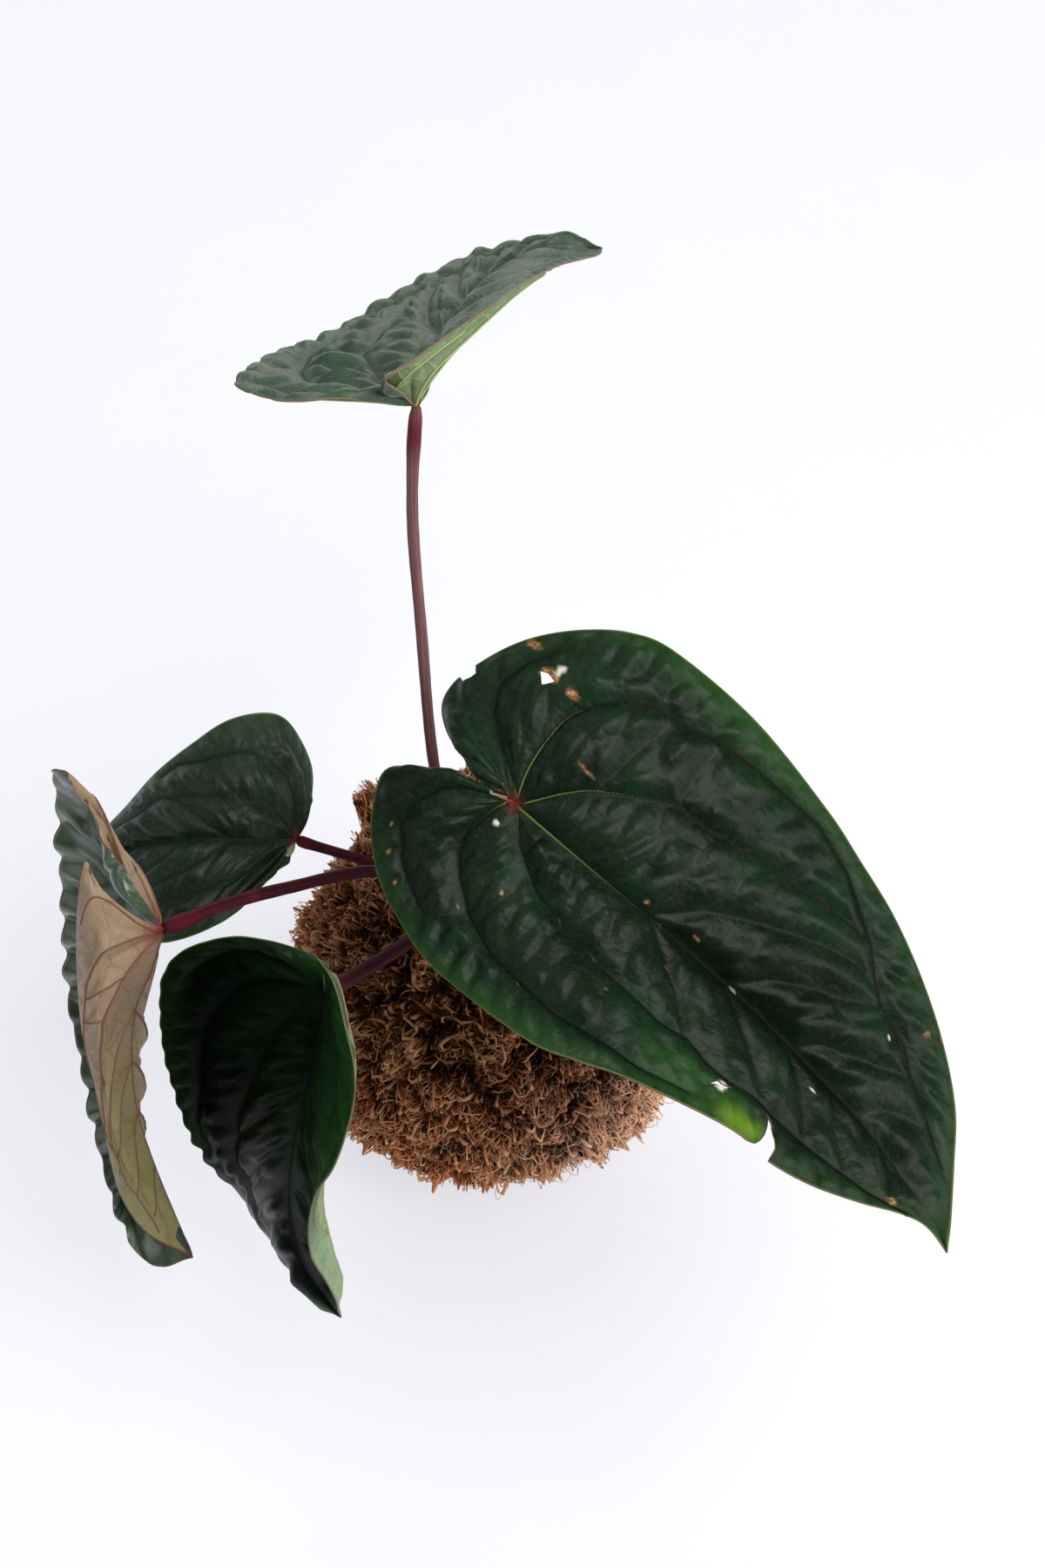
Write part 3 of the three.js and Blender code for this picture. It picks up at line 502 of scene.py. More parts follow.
def moss_strand_finish():
    """Dried moss fibres: tan, straw and rusty strands, with painted shade in the gaps between tufts and over
    the top of the ball, and painted light on the tufts' tops, low down and on the lower right side.
    """
    finish = Finish("moss fibres")
    place = finish.object_place()
    aside, low = finish.part(place, 0), finish.part(place, 2)
    depth = finish.attribute("depth")
    patch = finish.noise(place, 38, 3)
    grain = finish.noise(place, 900, 3)
    shade = finish.layered(
        finish.ramp(finish.attribute("tone"), [(112, 38, 14), (172, 82, 38), (220, 130, 76), (242, 174, 122),
                                               (254, 226, 192)]),
        (patch.between(0.56, 0.7) * 0.6, (158, 52, 28)),
        (patch.fading(0.26, 0.42) * 0.35, (206, 166, 126)),
        (grain.between(0.45, 0.8) * 0.25, (230, 172, 126)),
        # painted shade over the top of the ball, where the leaves shade it
        (low.between(0.03, 0.1) * 0.5, (48, 22, 12)),
        # painted light low down, as from the floor, and more on the lower right side
        (low.fading(0.0, 0.05) * 0.4, (246, 180, 134)),
        (aside.between(-0.015, 0.04) * low.fading(0.03, 0.1) * 0.85, (255, 214, 182)),
        # painted highlight on the tufts' tops, and painted shade in the gaps between them
        (depth.between(0.7, 1.0) * 0.35, (244, 190, 148)),
        (depth.fading(0.2, 0.85), (26, 10, 5)),
    )
    return finish.surface(shade, 0.72 + grain * 0.2, 0.1, (grain, 0.5, 0.0003))


def moss_bed_finish():
    finish = Finish("moss bed")
    place = finish.object_place()
    clump = finish.noise(place, 60, 5, 0.65)
    grain = finish.noise(place, 420, 4, 0.65, 1.2)
    shade = finish.layered((38, 18, 10), (clump.between(0.35, 0.7), (84, 46, 28)),
                           (grain.between(0.5, 0.75) * 0.6, (126, 80, 50)))
    return finish.surface(shade, 0.85 + grain * 0.1, 0.2, (clump * 0.5 + grain, 1.0, 0.0016))


def soil_finish():
    finish = Finish("soil and roots")
    place = finish.object_place()
    crumbs = finish.cells(place, 420, "F1")
    damp = finish.noise(place, 45, 4)
    shade = finish.layered((38, 27, 20), (damp.between(0.35, 0.7), (68, 49, 35)),
                           (crumbs.between(0.5, 0.9) * 0.4, (98, 76, 54)))
    return finish.surface(shade, 0.82 + damp * 0.15, relief=(crumbs + damp * 0.5, 0.9, 0.0012))


def crown_finish():
    finish = Finish("rootstock bark")
    fibre = finish.noise(finish.stretched(finish.object_place(), (900, 900, 120)), 1.0, 4, 0.65)
    band = finish.attribute("ring")
    shade = finish.layered((70, 44, 28), (fibre.between(0.35, 0.7), (128, 92, 62)),
                           (band.between(0.3, 0.9) * 0.5, (150, 112, 72)))
    return finish.surface(shade, 0.66 + fibre * 0.2, relief=(fibre + band * 0.4, 0.8, 0.0008))


def floor_finish():
    finish = Finish("pale floor")
    shade = finish.blend(finish.noise(finish.object_place(), 30, 3, 0.5), (159, 159, 160), (162, 162, 163))
    return finish.surface(shade, 0.9, 0.1, more={
        "Emission Color": (0.91, 0.925, 1.0, 1.0), "Emission Strength": 0.675})


# Curves and sheets, in numbers

def unit(vectors):
    return vectors / np.maximum(np.linalg.norm(vectors, axis=-1, keepdims=True), 1e-12)


def dome(distance, reach, power=2):
    """1 at no distance, falling away to 0 beyond the reach."""
    return np.exp(-(distance / reach) ** power)


def smooth_curve(points, centripetal=False):
    """A curve through the points, read at shares of its length, and that length."""
    given = np.array(points, float)
    run = np.vstack([2 * given[0] - given[1], given, 2 * given[-1] - given[-2]])
    spans = len(given) - 1
    reach = np.linalg.norm(np.diff(run, axis=0), axis=1)
    knots = np.sqrt(reach) if centripetal else np.ones(len(reach))

    def at(turn):
        place = np.clip(np.asarray(turn, float) * spans, 0, spans)
        k = np.minimum(place.astype(int), spans - 1)
        w = (place - k)[..., None]
        a, b, c, d = (run[k + i] for i in range(4))
        before, here, after = (knots[k + i][..., None] for i in range(3))
        start = ((b - a) / before - (c - a) / (before + here) + (c - b) / here) * here
        end = ((c - b) / here - (d - b) / (here + after) + (d - c) / after) * here
        return ((2 * b - 2 * c + start + end) * w ** 3 + (3 * c - 3 * b - 2 * start - end) * w ** 2
                + start * w + b)

    turns = np.linspace(0, 1, 601)
    lengths = np.concatenate([[0], np.cumsum(np.linalg.norm(np.diff(at(turns), axis=0), axis=1))])
    return (lambda share: at(np.interp(np.asarray(share) * lengths[-1], lengths, turns))), lengths[-1]


flat_edge, FLAT_EDGE_RUN = smooth_curve(FLAT_OUTLINE)


def ray_foot(share):
    """Where on the midrib the ray to this share of the margin starts."""
    return np.clip((share - LOBE_SHARE) / (1 - LOBE_SHARE), 0, 1) ** RAY_CROWDING


def flat_point(across, share):
    """A point of the flat half blade, on the ray to a share of its margin."""
    edge = flat_edge(share)
    return np.stack([across * edge[..., 0], (1 - across) * ray_foot(share) + across * edge[..., 1]], -1)


def belly(vectors, share):
    """How far the rays' middles bulge out of the plain sheet, from three given bulges."""
    fade = np.minimum(1, share / BELLY_FADE) * np.minimum(1, (1 - share) / BELLY_FADE)
    total = 0
    for station, reach in zip(BELLY_STATIONS, vectors):
        weight = fade.copy()
        for other in BELLY_STATIONS:
            if other != station:
                weight = weight * (share - other) / (station - other)
        total = total + weight[..., None] * np.array(reach, float)
    return total


def to_veins(flat, lines, length):
    """How far each flat point is from the nearest of the lines, in millimetres. A thin vein
    counts as a little further away, so that its groove is fainter."""
    nearest = np.full(flat.shape[:-1], np.inf)
    for thick, line in lines:
        line = np.array(line, float)
        for a, b in zip(line[:-1], line[1:]):
            along = np.clip(((flat - a) @ (b - a)) / max((b - a) @ (b - a), 1e-12), 0, 1)
            away = np.linalg.norm(flat - a - along[..., None] * (b - a), axis=-1) * length
            nearest = np.minimum(nearest, away + THIN_VEIN * (1 - thick))
    return nearest


def margin_ribs(count):
    """Short veins that cross the band along the margin."""
    shares = MARGIN_RIBS_FROM + MARGIN_RIBS_RUN * (np.arange(count) + 0.5) / count
    starts = flat_point(np.full(count, MARGIN_RIB_START), shares)
    ends = flat_point(np.full(count, MARGIN_RIB_END), shares + MARGIN_RIB_LEAN)
    return [(1, [start, end]) for start, end in zip(starts, ends)]


def to_cells(places, size, seed):
    """How far each place is from the borders of irregular cells of about that size, and how
    strongly its own cell swells."""
    random = np.random.default_rng(seed)
    low, high = places.reshape(-1, 2).min(0) - size, places.reshape(-1, 2).max(0) + size
    spots = []
    for row, y in enumerate(np.arange(low[1], high[1], size * 0.87)):
        for x in np.arange(low[0] + (row % 2) * size / 2, high[0], size):
            spots.append([x, y] + random.uniform(-0.3, 0.3, 2) * size)
    spots = np.array(spots)
    swell = random.uniform(0.55, 1.25, len(spots))
    border, own = np.empty(places.shape[:-1]), np.empty(places.shape[:-1])
    for row in range(len(places)):
        distance = np.linalg.norm(places[row][:, None, :] - spots[None], axis=-1)
        nearest = np.argpartition(distance, 1, axis=1)[:, :2]
        two = np.take_along_axis(distance, nearest, axis=1)
        order = np.argmin(two, axis=1)
        border[row] = np.abs(two[:, 1] - two[:, 0]) / 2
        own[row] = swell[nearest[np.arange(len(order)), order]]
    return border, own


def evened(field, passes):
    for _ in range(passes):
        wide = np.pad(field, ((1, 1), (1, 1)) + ((0, 0),) * (field.ndim - 2), mode="edge")
        field = (wide[:-2, 1:-1] + wide[2:, 1:-1] + wide[1:-1, :-2] + wide[1:-1, 2:] + 2 * field) / 6
    return field


class Sheet:
    """The blade's middle surface on a fine grid. Columns run from the second half's margin over
    the midrib to the first half's margin, and rows from the sinus to the apex."""

    def __init__(self, leaf):
        midrib, self.length = smooth_curve(leaf["midrib"])
        reach = np.linspace(-1, 1, 2 * leaf["columns"] + 1)
        across, share = np.meshgrid(np.abs(reach), np.linspace(0, 1, leaf["rows"] + 1))
        first = np.broadcast_to(reach > 0, across.shape)
        away = across[..., None]
        middle = np.where(first[..., None], *(
            (1 - away) * midrib(ray_foot(share)) + away * margin_curve(leaf, side)(share)
            + 4 * away * (1 - away) * belly(leaf["bellies"][side], share) for side in (0, 1)))
        self.up = unit(evened(np.cross(np.gradient(middle, axis=1), np.gradient(middle, axis=0)), 4))
        flat = flat_point(across, share)
        self.flat = flat * np.where(first[..., None], [-1, 1], 1)
        self.fields = self.surface_fields(leaf, flat, first, share)
        middle = middle + self.up * self.fields["height"][..., None]
        outward = unit(np.gradient(middle, axis=1) * np.where(first, 1, -1)[..., None])
        self.middle = middle + outward * self.scallops(leaf, first, share)[..., None]

    def scallops(self, leaf, first, share):
        """How far the margin swells outwards between its ribs."""
        beat = 0.55 - dome(self.fields["rib_mm"], SCALLOP_WIDTH)
        beat = beat * (1 + 0.5 * np.sin(share * 37 + leaf["seed"]))
        none = (0, 0, 0, 0)
        swells = [np.interp(share, [0, 0.5, 0.65, 1], steps) for steps in leaf.get("scallop", (none, none))]
        reach = np.where(first, *swells) * beat * dome(self.fields["edge_mm"], SCALLOP_DEPTH)
        return reach * np.clip(share / 0.12, 0, 1) * np.clip((1 - share) / 0.08, 0, 1)

    def surface_fields(self, leaf, flat, first, share):
        """Distances on the blade, and how high its upper face stands over the plain sheet."""
        across, along = flat[..., 0], flat[..., 1]
        midrib = (1, [(0, 0), (0, 1)])
        vein = np.where(first, *(to_veins(flat, VEINS[side] + [midrib], self.length) for side in (0, 1)))
        ribs = to_veins(flat, margin_ribs(leaf.get("ribs", MARGIN_RIB_COUNT)), self.length)
        edge = np.linalg.norm(flat - flat_edge(share), axis=-1) * self.length
        foot = np.stack([np.zeros(share.shape), ray_foot(share)], -1)
        out = np.linalg.norm(flat - foot, axis=-1) * self.length * np.where(first, -1, 1)
        cell, swell = to_cells(np.stack([out / CELL_STRETCH, share * FLAT_EDGE_RUN * self.length], -1),
                               leaf["cell"], leaf["seed"])
        far_from_veins = 1 - dome(vein, 3.0)
        quilt = np.where(first, *leaf["quilt"]) * swell * (1 - dome(cell, 0.27 * leaf["cell"], 1.6))
        x, y = self.flat[..., 0] * self.length, self.flat[..., 1] * self.length
        ripple = np.sin(x * 0.31 + y * 0.17 + leaf["seed"]) * np.sin(y * 0.27 - x * 0.11)
        valley = dome(across * self.length, 6) * dome(along - 0.5, 0.22, 4) * (along > 0)
        height = (leaf["pillow"] * (1 - dome(np.minimum(vein, ribs + 1.2), PILLOW_WIDTH, 1.5))
                  + (quilt + leaf["ripple"] * ripple) * far_from_veins - leaf.get("valley", 0.4) * valley)
        # the margin itself runs smoothly, and both ends close in a point
        calm = np.where(first, *(np.interp(share, [0, 0.2, 0.3, 1], steps) for steps in leaf["calm"]))
        calm = calm * dome(edge, 2.8)
        sink = np.where(first, *leaf.get("sink", (0, 0))) * (1 - dome(edge, 6))
        height = height * (1 - calm) + 0.5 * calm - sink * np.clip((share - 0.2) / 0.15, 0, 1)
        for end in (0, 1):
            height = height * (1 - dome(np.hypot(across, along - end) * self.length, 4))
        return {"vein_mm": np.minimum(vein, ribs + 0.5), "edge_mm": edge, "cell_mm": cell,
                "rib_mm": ribs, "height": height}

    def read(self, field, across, share):
        """A field of the grid at any place, where across is negative on the second half."""
        rows, columns = field.shape[0] - 1, field.shape[1] - 1
        x = np.clip((np.asarray(across) + 1) / 2 * columns, 0, columns)
        y = np.clip(np.asarray(share) * rows, 0, rows)
        i, j = np.minimum(x.astype(int), columns - 1), np.minimum(y.astype(int), rows - 1)
        u, v = x - i, y - j
        if field.ndim == 3:
            u, v = u[..., None], v[..., None]
        return ((field[j, i] * (1 - u) + field[j, i + 1] * u) * (1 - v)
                + (field[j + 1, i] * (1 - u) + field[j + 1, i + 1] * u) * v)


def margin_curve(leaf, side):
    midrib = leaf["midrib"]
    return smooth_curve([midrib[0], *leaf["margins"][side], midrib[-1]])[0]


def place_of(side, points):
    """Across and share of flat points on one half: the nearest of a table, then six steps."""
    across, share = np.meshgrid(np.linspace(0, 1, 61), np.linspace(0.001, 0.999, 241))
    table = flat_point(across, share).reshape(-1, 2)
    near = np.argmin(np.linalg.norm(points[:, None] - table[None], axis=-1), axis=1)
    a, s = across.ravel()[near], share.ravel()[near]
    for _ in range(6):
        here = flat_point(a, s)
        da = (flat_point(a + 1e-4, s) - here) / 1e-4
        ds = (flat_point(a, np.minimum(s + 1e-4, 1)) - here) / 1e-4
        miss = points - here
        det = da[:, 0] * ds[:, 1] - da[:, 1] * ds[:, 0]
        det = np.where(np.abs(det) < 1e-5, np.inf, det)
        a = np.clip(a + np.clip((miss[:, 0] * ds[:, 1] - miss[:, 1] * ds[:, 0]) / det, -0.02, 0.02), 0, 1)
        s = np.clip(s + np.clip((da[:, 0] * miss[:, 1] - da[:, 1] * miss[:, 0]) / det, -0.01, 0.01), 0, 1)
    return (a if side == 0 else -a), s


# Mesh helpers

def object_from(builder, name, materials):
    mesh = bpy.data.meshes.new(name)
    builder.to_mesh(mesh)
    builder.free()
    for material in materials:
        mesh.materials.append(material)
    made = bpy.data.objects.new(name, mesh)
    bpy.context.scene.collection.objects.link(made)
    return made


def piece_from(builder, name, materials, slot_name, replaced=()):
    """A finished piece: its mesh from a bmesh, riding on the plant's one body."""
    piece = object_from(builder, name, materials)
    piece.data.shade_smooth()
    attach(piece, "root")
    if replaced:
        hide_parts(*replaced)
    return piece


def coordinates(builder):
    builder.verts.ensure_lookup_table()
    return np.array([vert.co for vert in builder.verts])


def move_points(verts, places):
    for vert, place in zip(verts, places * MM):
        vert.co = place


def point_layer(builder, name, values):
    """The points' layer of that name, made where it is missing, for such values."""
    layers = builder.verts.layers
    kind = layers.float if np.ndim(values) == 1 else layers.float_vector
    return kind.get(name) or kind.new(name)


def fill_layer(builder, name, verts, values):
    layer = point_layer(builder, name, values)
    for vert, value in zip(verts, values):
        vert[layer] = value


def cross_directions(path):
    """Two directions across a path at each of its points, without twist."""
    tangents = unit(np.gradient(path, axis=0))
    side = np.array([0.6, -0.8, 0.0])
    sides = []
    for tangent in tangents:
        side = unit(side - tangent * (side @ tangent))
        sides.append(side)
    return np.array(sides), np.cross(tangents, sides)


def around(first, second, angle):
    """Directions at an angle between two that are square to each other."""
    return first * np.cos(angle)[:, None] + second * np.sin(angle)[:, None]


def tube_on(builder, path, radius, sides, facts):
    """Adds a closed tube along a path. `radius` is one value per point, or one per point and
    side. `facts` gives layers their values from the share along and the turn round the tube."""
    rings = len(path) - 1
    for name, value in facts(np.zeros(1), np.zeros(1)).items():
        point_layer(builder, name, value)
    made = bmesh.ops.create_grid(builder, x_segments=sides, y_segments=rings, size=1)["verts"]
    local = (np.array([vert.co for vert in made]) + 1) / 2
    turn = local[:, 0]
    ring = np.rint(local[:, 1] * rings).astype(int)
    right, up = cross_directions(path)
    reach = radius[ring] if np.ndim(radius) == 1 else radius[ring, np.rint(turn * sides).astype(int)]
    move_points(made, path[ring] + around(right[ring], up[ring], turn * FULL_TURN) * reach[:, None])
    for name, values in facts(ring / rings, turn).items():
        fill_layer(builder, name, made, values)
    bmesh.ops.remove_doubles(builder, verts=made, dist=2e-7)
    open_edges = {edge for vert in made if vert.is_valid for edge in vert.link_edges if edge.is_boundary}
    bmesh.ops.holes_fill(builder, edges=list(open_edges), sides=0)


def tubes_piece(builder, *details):
    bmesh.ops.recalc_face_normals(builder, faces=builder.faces)
    return piece_from(builder, *details)


# Leaves

def inside(outline, points):
    """Which points lie inside a closed outline."""
    x, y = points[:, 0], points[:, 1]
    found = np.zeros(len(points), bool)
    for (ax, ay), (bx, by) in zip(outline, outline[1:] + outline[:1]):
        if ay != by:
            found ^= ((ay > y) != (by > y)) & (x < (bx - ax) * (y - ay) / (by - ay) + ax)
    return found


def cut_tear(blade, side, outline):
    """Cuts a tear while the blade is still a flat square of across and share."""
    corners = [((x if side == 0 else -x), 2 * y - 1) for x, y in outline]
    low, high = np.min(corners, axis=0) - 0.03, np.max(corners, axis=0) + 0.03

    def near():
        return [face for face in blade.faces
                if low[0] < face.calc_center_median().x < high[0]
                and low[1] < face.calc_center_median().y < high[1]]

    for (ax, ay), (bx, by) in zip(corners, corners[1:] + corners[:1]):
        faces = near()
        geometry = set(faces)
        for face in faces:
            geometry.update(face.edges, face.verts)
        bmesh.ops.bisect_plane(blade, geom=list(geometry), dist=1e-6, plane_co=(ax, ay, 0),
                               plane_no=(by - ay, ax - bx, 0))
    faces = near()
    centres = np.array([face.calc_center_median()[:2] for face in faces])
    torn = [face for face, gone in zip(faces, inside(corners, centres)) if gone]
    bmesh.ops.delete(blade, geom=torn, context="FACES")


def marks_of(leaf, kind, flat, length):
    """How strongly a kind of mark shows at each flat point, from the leaf's list of spots."""
    total = np.zeros(len(flat))
    for x, y, wide, tall in leaf.get("marks", {}).get(kind, []):
        reach = (((flat[:, 0] - x / 1000 * length) / wide) ** 2
                 + ((flat[:, 1] - y / 1000 * length) / tall) ** 2)
        total += np.clip(1.6 - 1.2 * reach, 0, 1) if kind in ("scar", "chalk") else np.exp(-reach)
    return np.minimum(total, 1)


def build_blade(name, leaf, sheet, materials, slot_name):
    blade = bmesh.new()
    bmesh.ops.create_grid(blade, x_segments=2 * leaf["columns"], y_segments=leaf["rows"], size=1)
    for side, outline in leaf.get("tears", []):
        cut_tear(blade, side, outline)
    square = coordinates(blade)
    across, share = square[:, 0], (square[:, 1] + 1) / 2
    flat = sheet.read(sheet.flat, across, share) * sheet.length
    facts = {"flat": np.column_stack([flat, np.zeros(len(flat))])}
    facts.update({field: sheet.read(sheet.fields[field], across, share)
                  for field in ("vein_mm", "edge_mm", "cell_mm")})
    facts.update({kind: marks_of(leaf, kind, flat, sheet.length)
                  for kind in ("scar", "glow", "chalk", "lit", "painted_shade", "sheen")})
    facts["junction"] = dome(np.hypot(flat[:, 0], flat[:, 1]), 1.9)
    for layer, values in facts.items():
        fill_layer(blade, layer, blade.verts, values)
    move_points(blade.verts, sheet.read(sheet.middle, across, share))
    bmesh.ops.remove_doubles(blade, verts=blade.verts, dist=1e-6)
    bmesh.ops.dissolve_degenerate(blade, edges=blade.edges, dist=1e-7)
    bmesh.ops.triangulate(blade, faces=[face for face in blade.faces if len(face.verts) > 4])
    piece = piece_from(blade, f"blade_{name}", materials, slot_name, [f"leaf_{name}"])
    wall = piece.modifiers.new("thickness", "SOLIDIFY")
    wall.thickness = BLADE_THICKNESS * MM
    wall.offset = 0
    wall.material_offset = 1
    wall.material_offset_rim = 2


def build_veins(name, leaf, sheet, material, slot_name):
    """The midrib and the veins of both halves, as tubes. On the upper face their light colour
    reaches less far out by `dimmer`."""
    veins = bmesh.new()
    lines = [(1, 1.35, 0.0, [(0.0001, y) for y in np.linspace(0.005, 0.985, 40)])]
    lines += [(side, thick, 0.0 if side == 1 and thick > 0.85 else 0.16, line)
              for side in (0, 1) for thick, line in VEINS[side]]
    for side, thick, dimmer, line in lines:
        smooth, run = smooth_curve(line)
        shares = np.linspace(0, 1, max(6, int(run * sheet.length / VEIN_STEP)))
        points = smooth(shares)
        across, share = place_of(side, np.column_stack([np.maximum(points[:, 0], 0), points[:, 1]]))
        # veins stand out on the underside and sink in the upper face as they thin
        reach = np.hypot(points[:, 0], points[:, 1])
        depth = VEIN_DEPTH + leaf.get("tuck", 0) * dome(reach * sheet.length, 6)
        up = sheet.read(sheet.up, across, share)
        path = sheet.read(sheet.middle, across, share) - depth[:, None] * up
        keep = np.concatenate([[True], np.linalg.norm(np.diff(path, axis=0), axis=1) > 0.25])
        path, shares, reach, up = path[keep], shares[keep], reach[keep], up[keep]
        if len(path) < 4:
            continue
        radius = VEIN_END_RADIUS + leaf.get("rib", 0.24) * (1 - shares) ** 1.4 * thick * sheet.length / 150
        radius[-1] *= 0.6
        fade = reach + dimmer * np.minimum(reach / 0.03, 1)
        right, over = cross_directions(path)

        def facts(along, turn, up=up, right=right, over=over, fade=fade):
            ring = np.rint(along * (len(up) - 1)).astype(int)
            out = around(right[ring], over[ring], turn * FULL_TURN)
            return {"upper": (out * up[ring]).sum(1), "fade": fade[ring]}

        tube_on(veins, path, radius, 8, facts)
    tubes_piece(veins, f"veins_{name}", [material], slot_name)


def build_petiole(name, leaf, material):
    """A stalk from the rootstock to the sinus, thicker at its foot and its knee, with three
    fine grooves along it."""
    route = np.array(leaf["route"], float)
    start = CROWN + unit(route[0] - CROWN) * (CROWN_RADIUS - 0.8)
    curve, length = smooth_curve([start, *route, leaf["midrib"][0]], centripetal=True)
    rings, sides = max(40, int(length / 1.1)), 20
    share = np.linspace(0, 1, rings + 1)
    swell = (1 + 0.2 * dome(share - 0.94, 0.055) + 0.3 * dome(share, 0.09)
             - leaf.get("tip", 0.3) * dome(share - 1, 0.012))
    wave = 1 + 0.025 * np.sin(share * length * 0.21 + leaf["seed"]) + 0.012 * np.sin(share * length * 0.83)
    turn = np.linspace(0, 1, sides + 1)
    after = (turn - 0.2) % 1
    groove = 0.1 * (dome(after, 0.045) + dome(1 - after, 0.045) + dome(turn - 0.36, 0.045))
    radius = leaf["petiole_radius"] * (swell * wave)[:, None] * (1 - groove)[None]

    def facts(along, turned):
        angle = turned * FULL_TURN
        return {
            "run": np.column_stack([np.cos(angle), np.sin(angle), along * length]),
            "knee": dome(along - 0.95, 0.045),
            "groove": np.interp(turned, turn, groove) * 10,
        }

    stalk = bmesh.new()
    tube_on(stalk, curve(share), radius, sides, facts)
    tubes_piece(stalk, f"stalk_{name}", [material], "petiole", [f"petiole_{name}"])


# Rootstock

def build_crown(material):
    """A short ringed stem with the scars of shed sheaths, domed at the top."""
    rings, sides = 45, 40
    foot_radius, neck_radius, cap = 6.7, 8.4, CROWN_RADIUS - 0.6
    heights = np.linspace(0, 1, rings + 1)
    z = CROWN_FOOT_Z + (CROWN[2] + cap - CROWN_FOOT_Z) * heights
    rounded = np.sqrt(np.clip(1 - np.clip((z - CROWN[2]) / cap, 0, 1) ** 2, 0, 1))
    ring = np.abs(np.sin((z - CROWN_FOOT_Z) * 0.82)) ** 6
    widening = np.clip((z - CROWN_FOOT_Z) / (CROWN[2] - CROWN_FOOT_Z), 0, 1)
    radius = np.where(z < CROWN[2], foot_radius + (neck_radius - foot_radius) * widening,
                      neck_radius * rounded)
    radius = np.maximum(radius + 0.45 * ring * (z < CROWN[2] + 3), 0.3)
    knots = 1 + 0.035 * np.sin(np.linspace(0, 5, sides + 1) * FULL_TURN) * np.sin(heights * 9)[:, None]
    stem = bmesh.new()
    tube_on(stem, np.column_stack([z * 0 + CROWN[0], z * 0 + CROWN[1], z]), radius[:, None] * knots, sides,
            lambda along, turned: {"ring": np.interp(along, heights, ring)})
    tubes_piece(stem, "rootstock", [material], "crown", ["crown"])


# Moss

def lump(direction):
    x, y, z = (direction[..., axis] for axis in range(3))
    broad = np.sin(2.1 * x + 1.3) * np.cos(1.7 * y - 0.4) + 0.6 * np.sin(3.3 * y + 2.2 * z)
    fine = np.sin(8.3 * x - 2.7 * z) * np.cos(7.1 * y + 3.9 * z) + np.sin(9.7 * z + 4.4 * y)
    return 0.35 * broad + 0.22 * fine


def even_spread(count):
    """Heights and turns that spread points evenly over a ball of radius 1."""
    step = np.arange(count)
    return 1 - 2 * (step + 0.5) / count, step * np.pi * (3 - math.sqrt(5))


def on_ball(z, turn):
    ring = np.sqrt(1 - z ** 2)
    return np.column_stack([ring * np.cos(turn), ring * np.sin(turn), z])


def tuft_spots(count, seed):
    """Where the tufts of moss sit on the ball, how high each is and how far it reaches."""
    random = np.random.default_rng(seed)
    spots = unit(on_ball(*even_spread(count)) + random.normal(0, 0.05, (count, 3)))
    heights, reaches = random.uniform(-0.4, 3.6, count), random.uniform(3.5, 11.0, count)
    # tall tufts where the moss rises behind the leaves
    for place, height, reach in [((-0.54, 0.667, 0.515), 10, 8), ((-0.08, 0.81, 0.58), 7.5, 10),
                                 ((-0.3, 0.75, 0.59), 5, 9), ((-0.62, 0.5, 0.6), 4.5, 8)]:
        nearest = np.argmax(spots @ np.array(place))
        spots[nearest], heights[nearest], reaches[nearest] = place, height, reach
    return spots, heights, reaches


TUFTS, TUFT_HEIGHTS, TUFT_REACHES = tuft_spots(TUFT_COUNT, 5)


def clumps(direction):
    """Tufts where the moss bunches up and the gaps between them, in millimetres."""
    flat = direction.reshape(-1, 3)
    flat = unit(flat + 0.05 * np.sin(flat[:, [1, 2, 0]] * 21 + [5, 3, 1])
                + 0.028 * np.sin(flat[:, [2, 0, 1]] * 47 + [2, 4, 6]))
    found = []
    for some in np.array_split(flat, len(flat) // 20000 + 1):
        away = np.sqrt(np.maximum(2 - 2 * some @ TUFTS.T, 0)) * BALL_RADIUS / TUFT_REACHES
        found.append(((TUFT_HEIGHTS + GAP_DEPTH) * (1 - away ** 2)).max(axis=1))
    return (np.maximum(np.concatenate(found), 0) - GAP_DEPTH).reshape(direction.shape[:-1])


def bed_radius(direction):
    return BALL_RADIUS - 1.8 + BALL_LUMP * lump(direction) + clumps(direction)


def build_bed(material):
    bed = bmesh.new()
    bmesh.ops.create_icosphere(bed, subdivisions=6, radius=1)
    direction = unit(coordinates(bed))
    places = direction * bed_radius(direction)[:, None] + BALL_CENTRE
    # the bed dips round the rootstock
    near = dome(np.hypot(places[:, 0] - CROWN[0], places[:, 1] - CROWN[1]), 11, 4)
    places[:, 2] -= np.where(places[:, 2] > BALL_CENTRE[2], 6 * near, 0)
    places[:, 2] = np.maximum(places[:, 2], BED_FLOOR)
    move_points(bed.verts, places)
    piece_from(bed, "moss_bed", [material], "moss", ["moss_wrap"])


def strand_shape(rings):
    """One straight strand: a slim three-sided rod cut across into short lengths."""
    rod = bmesh.new()
    bmesh.ops.create_cone(rod, cap_ends=True, segments=3, radius1=1, radius2=1, depth=1)
    for i in range(1, rings):
        bmesh.ops.bisect_plane(rod, geom=rod.verts[:] + rod.edges[:] + rod.faces[:], dist=1e-6,
                               plane_co=(0, 0, i / rings - 0.5), plane_no=(0, 0, 1))
    return rod


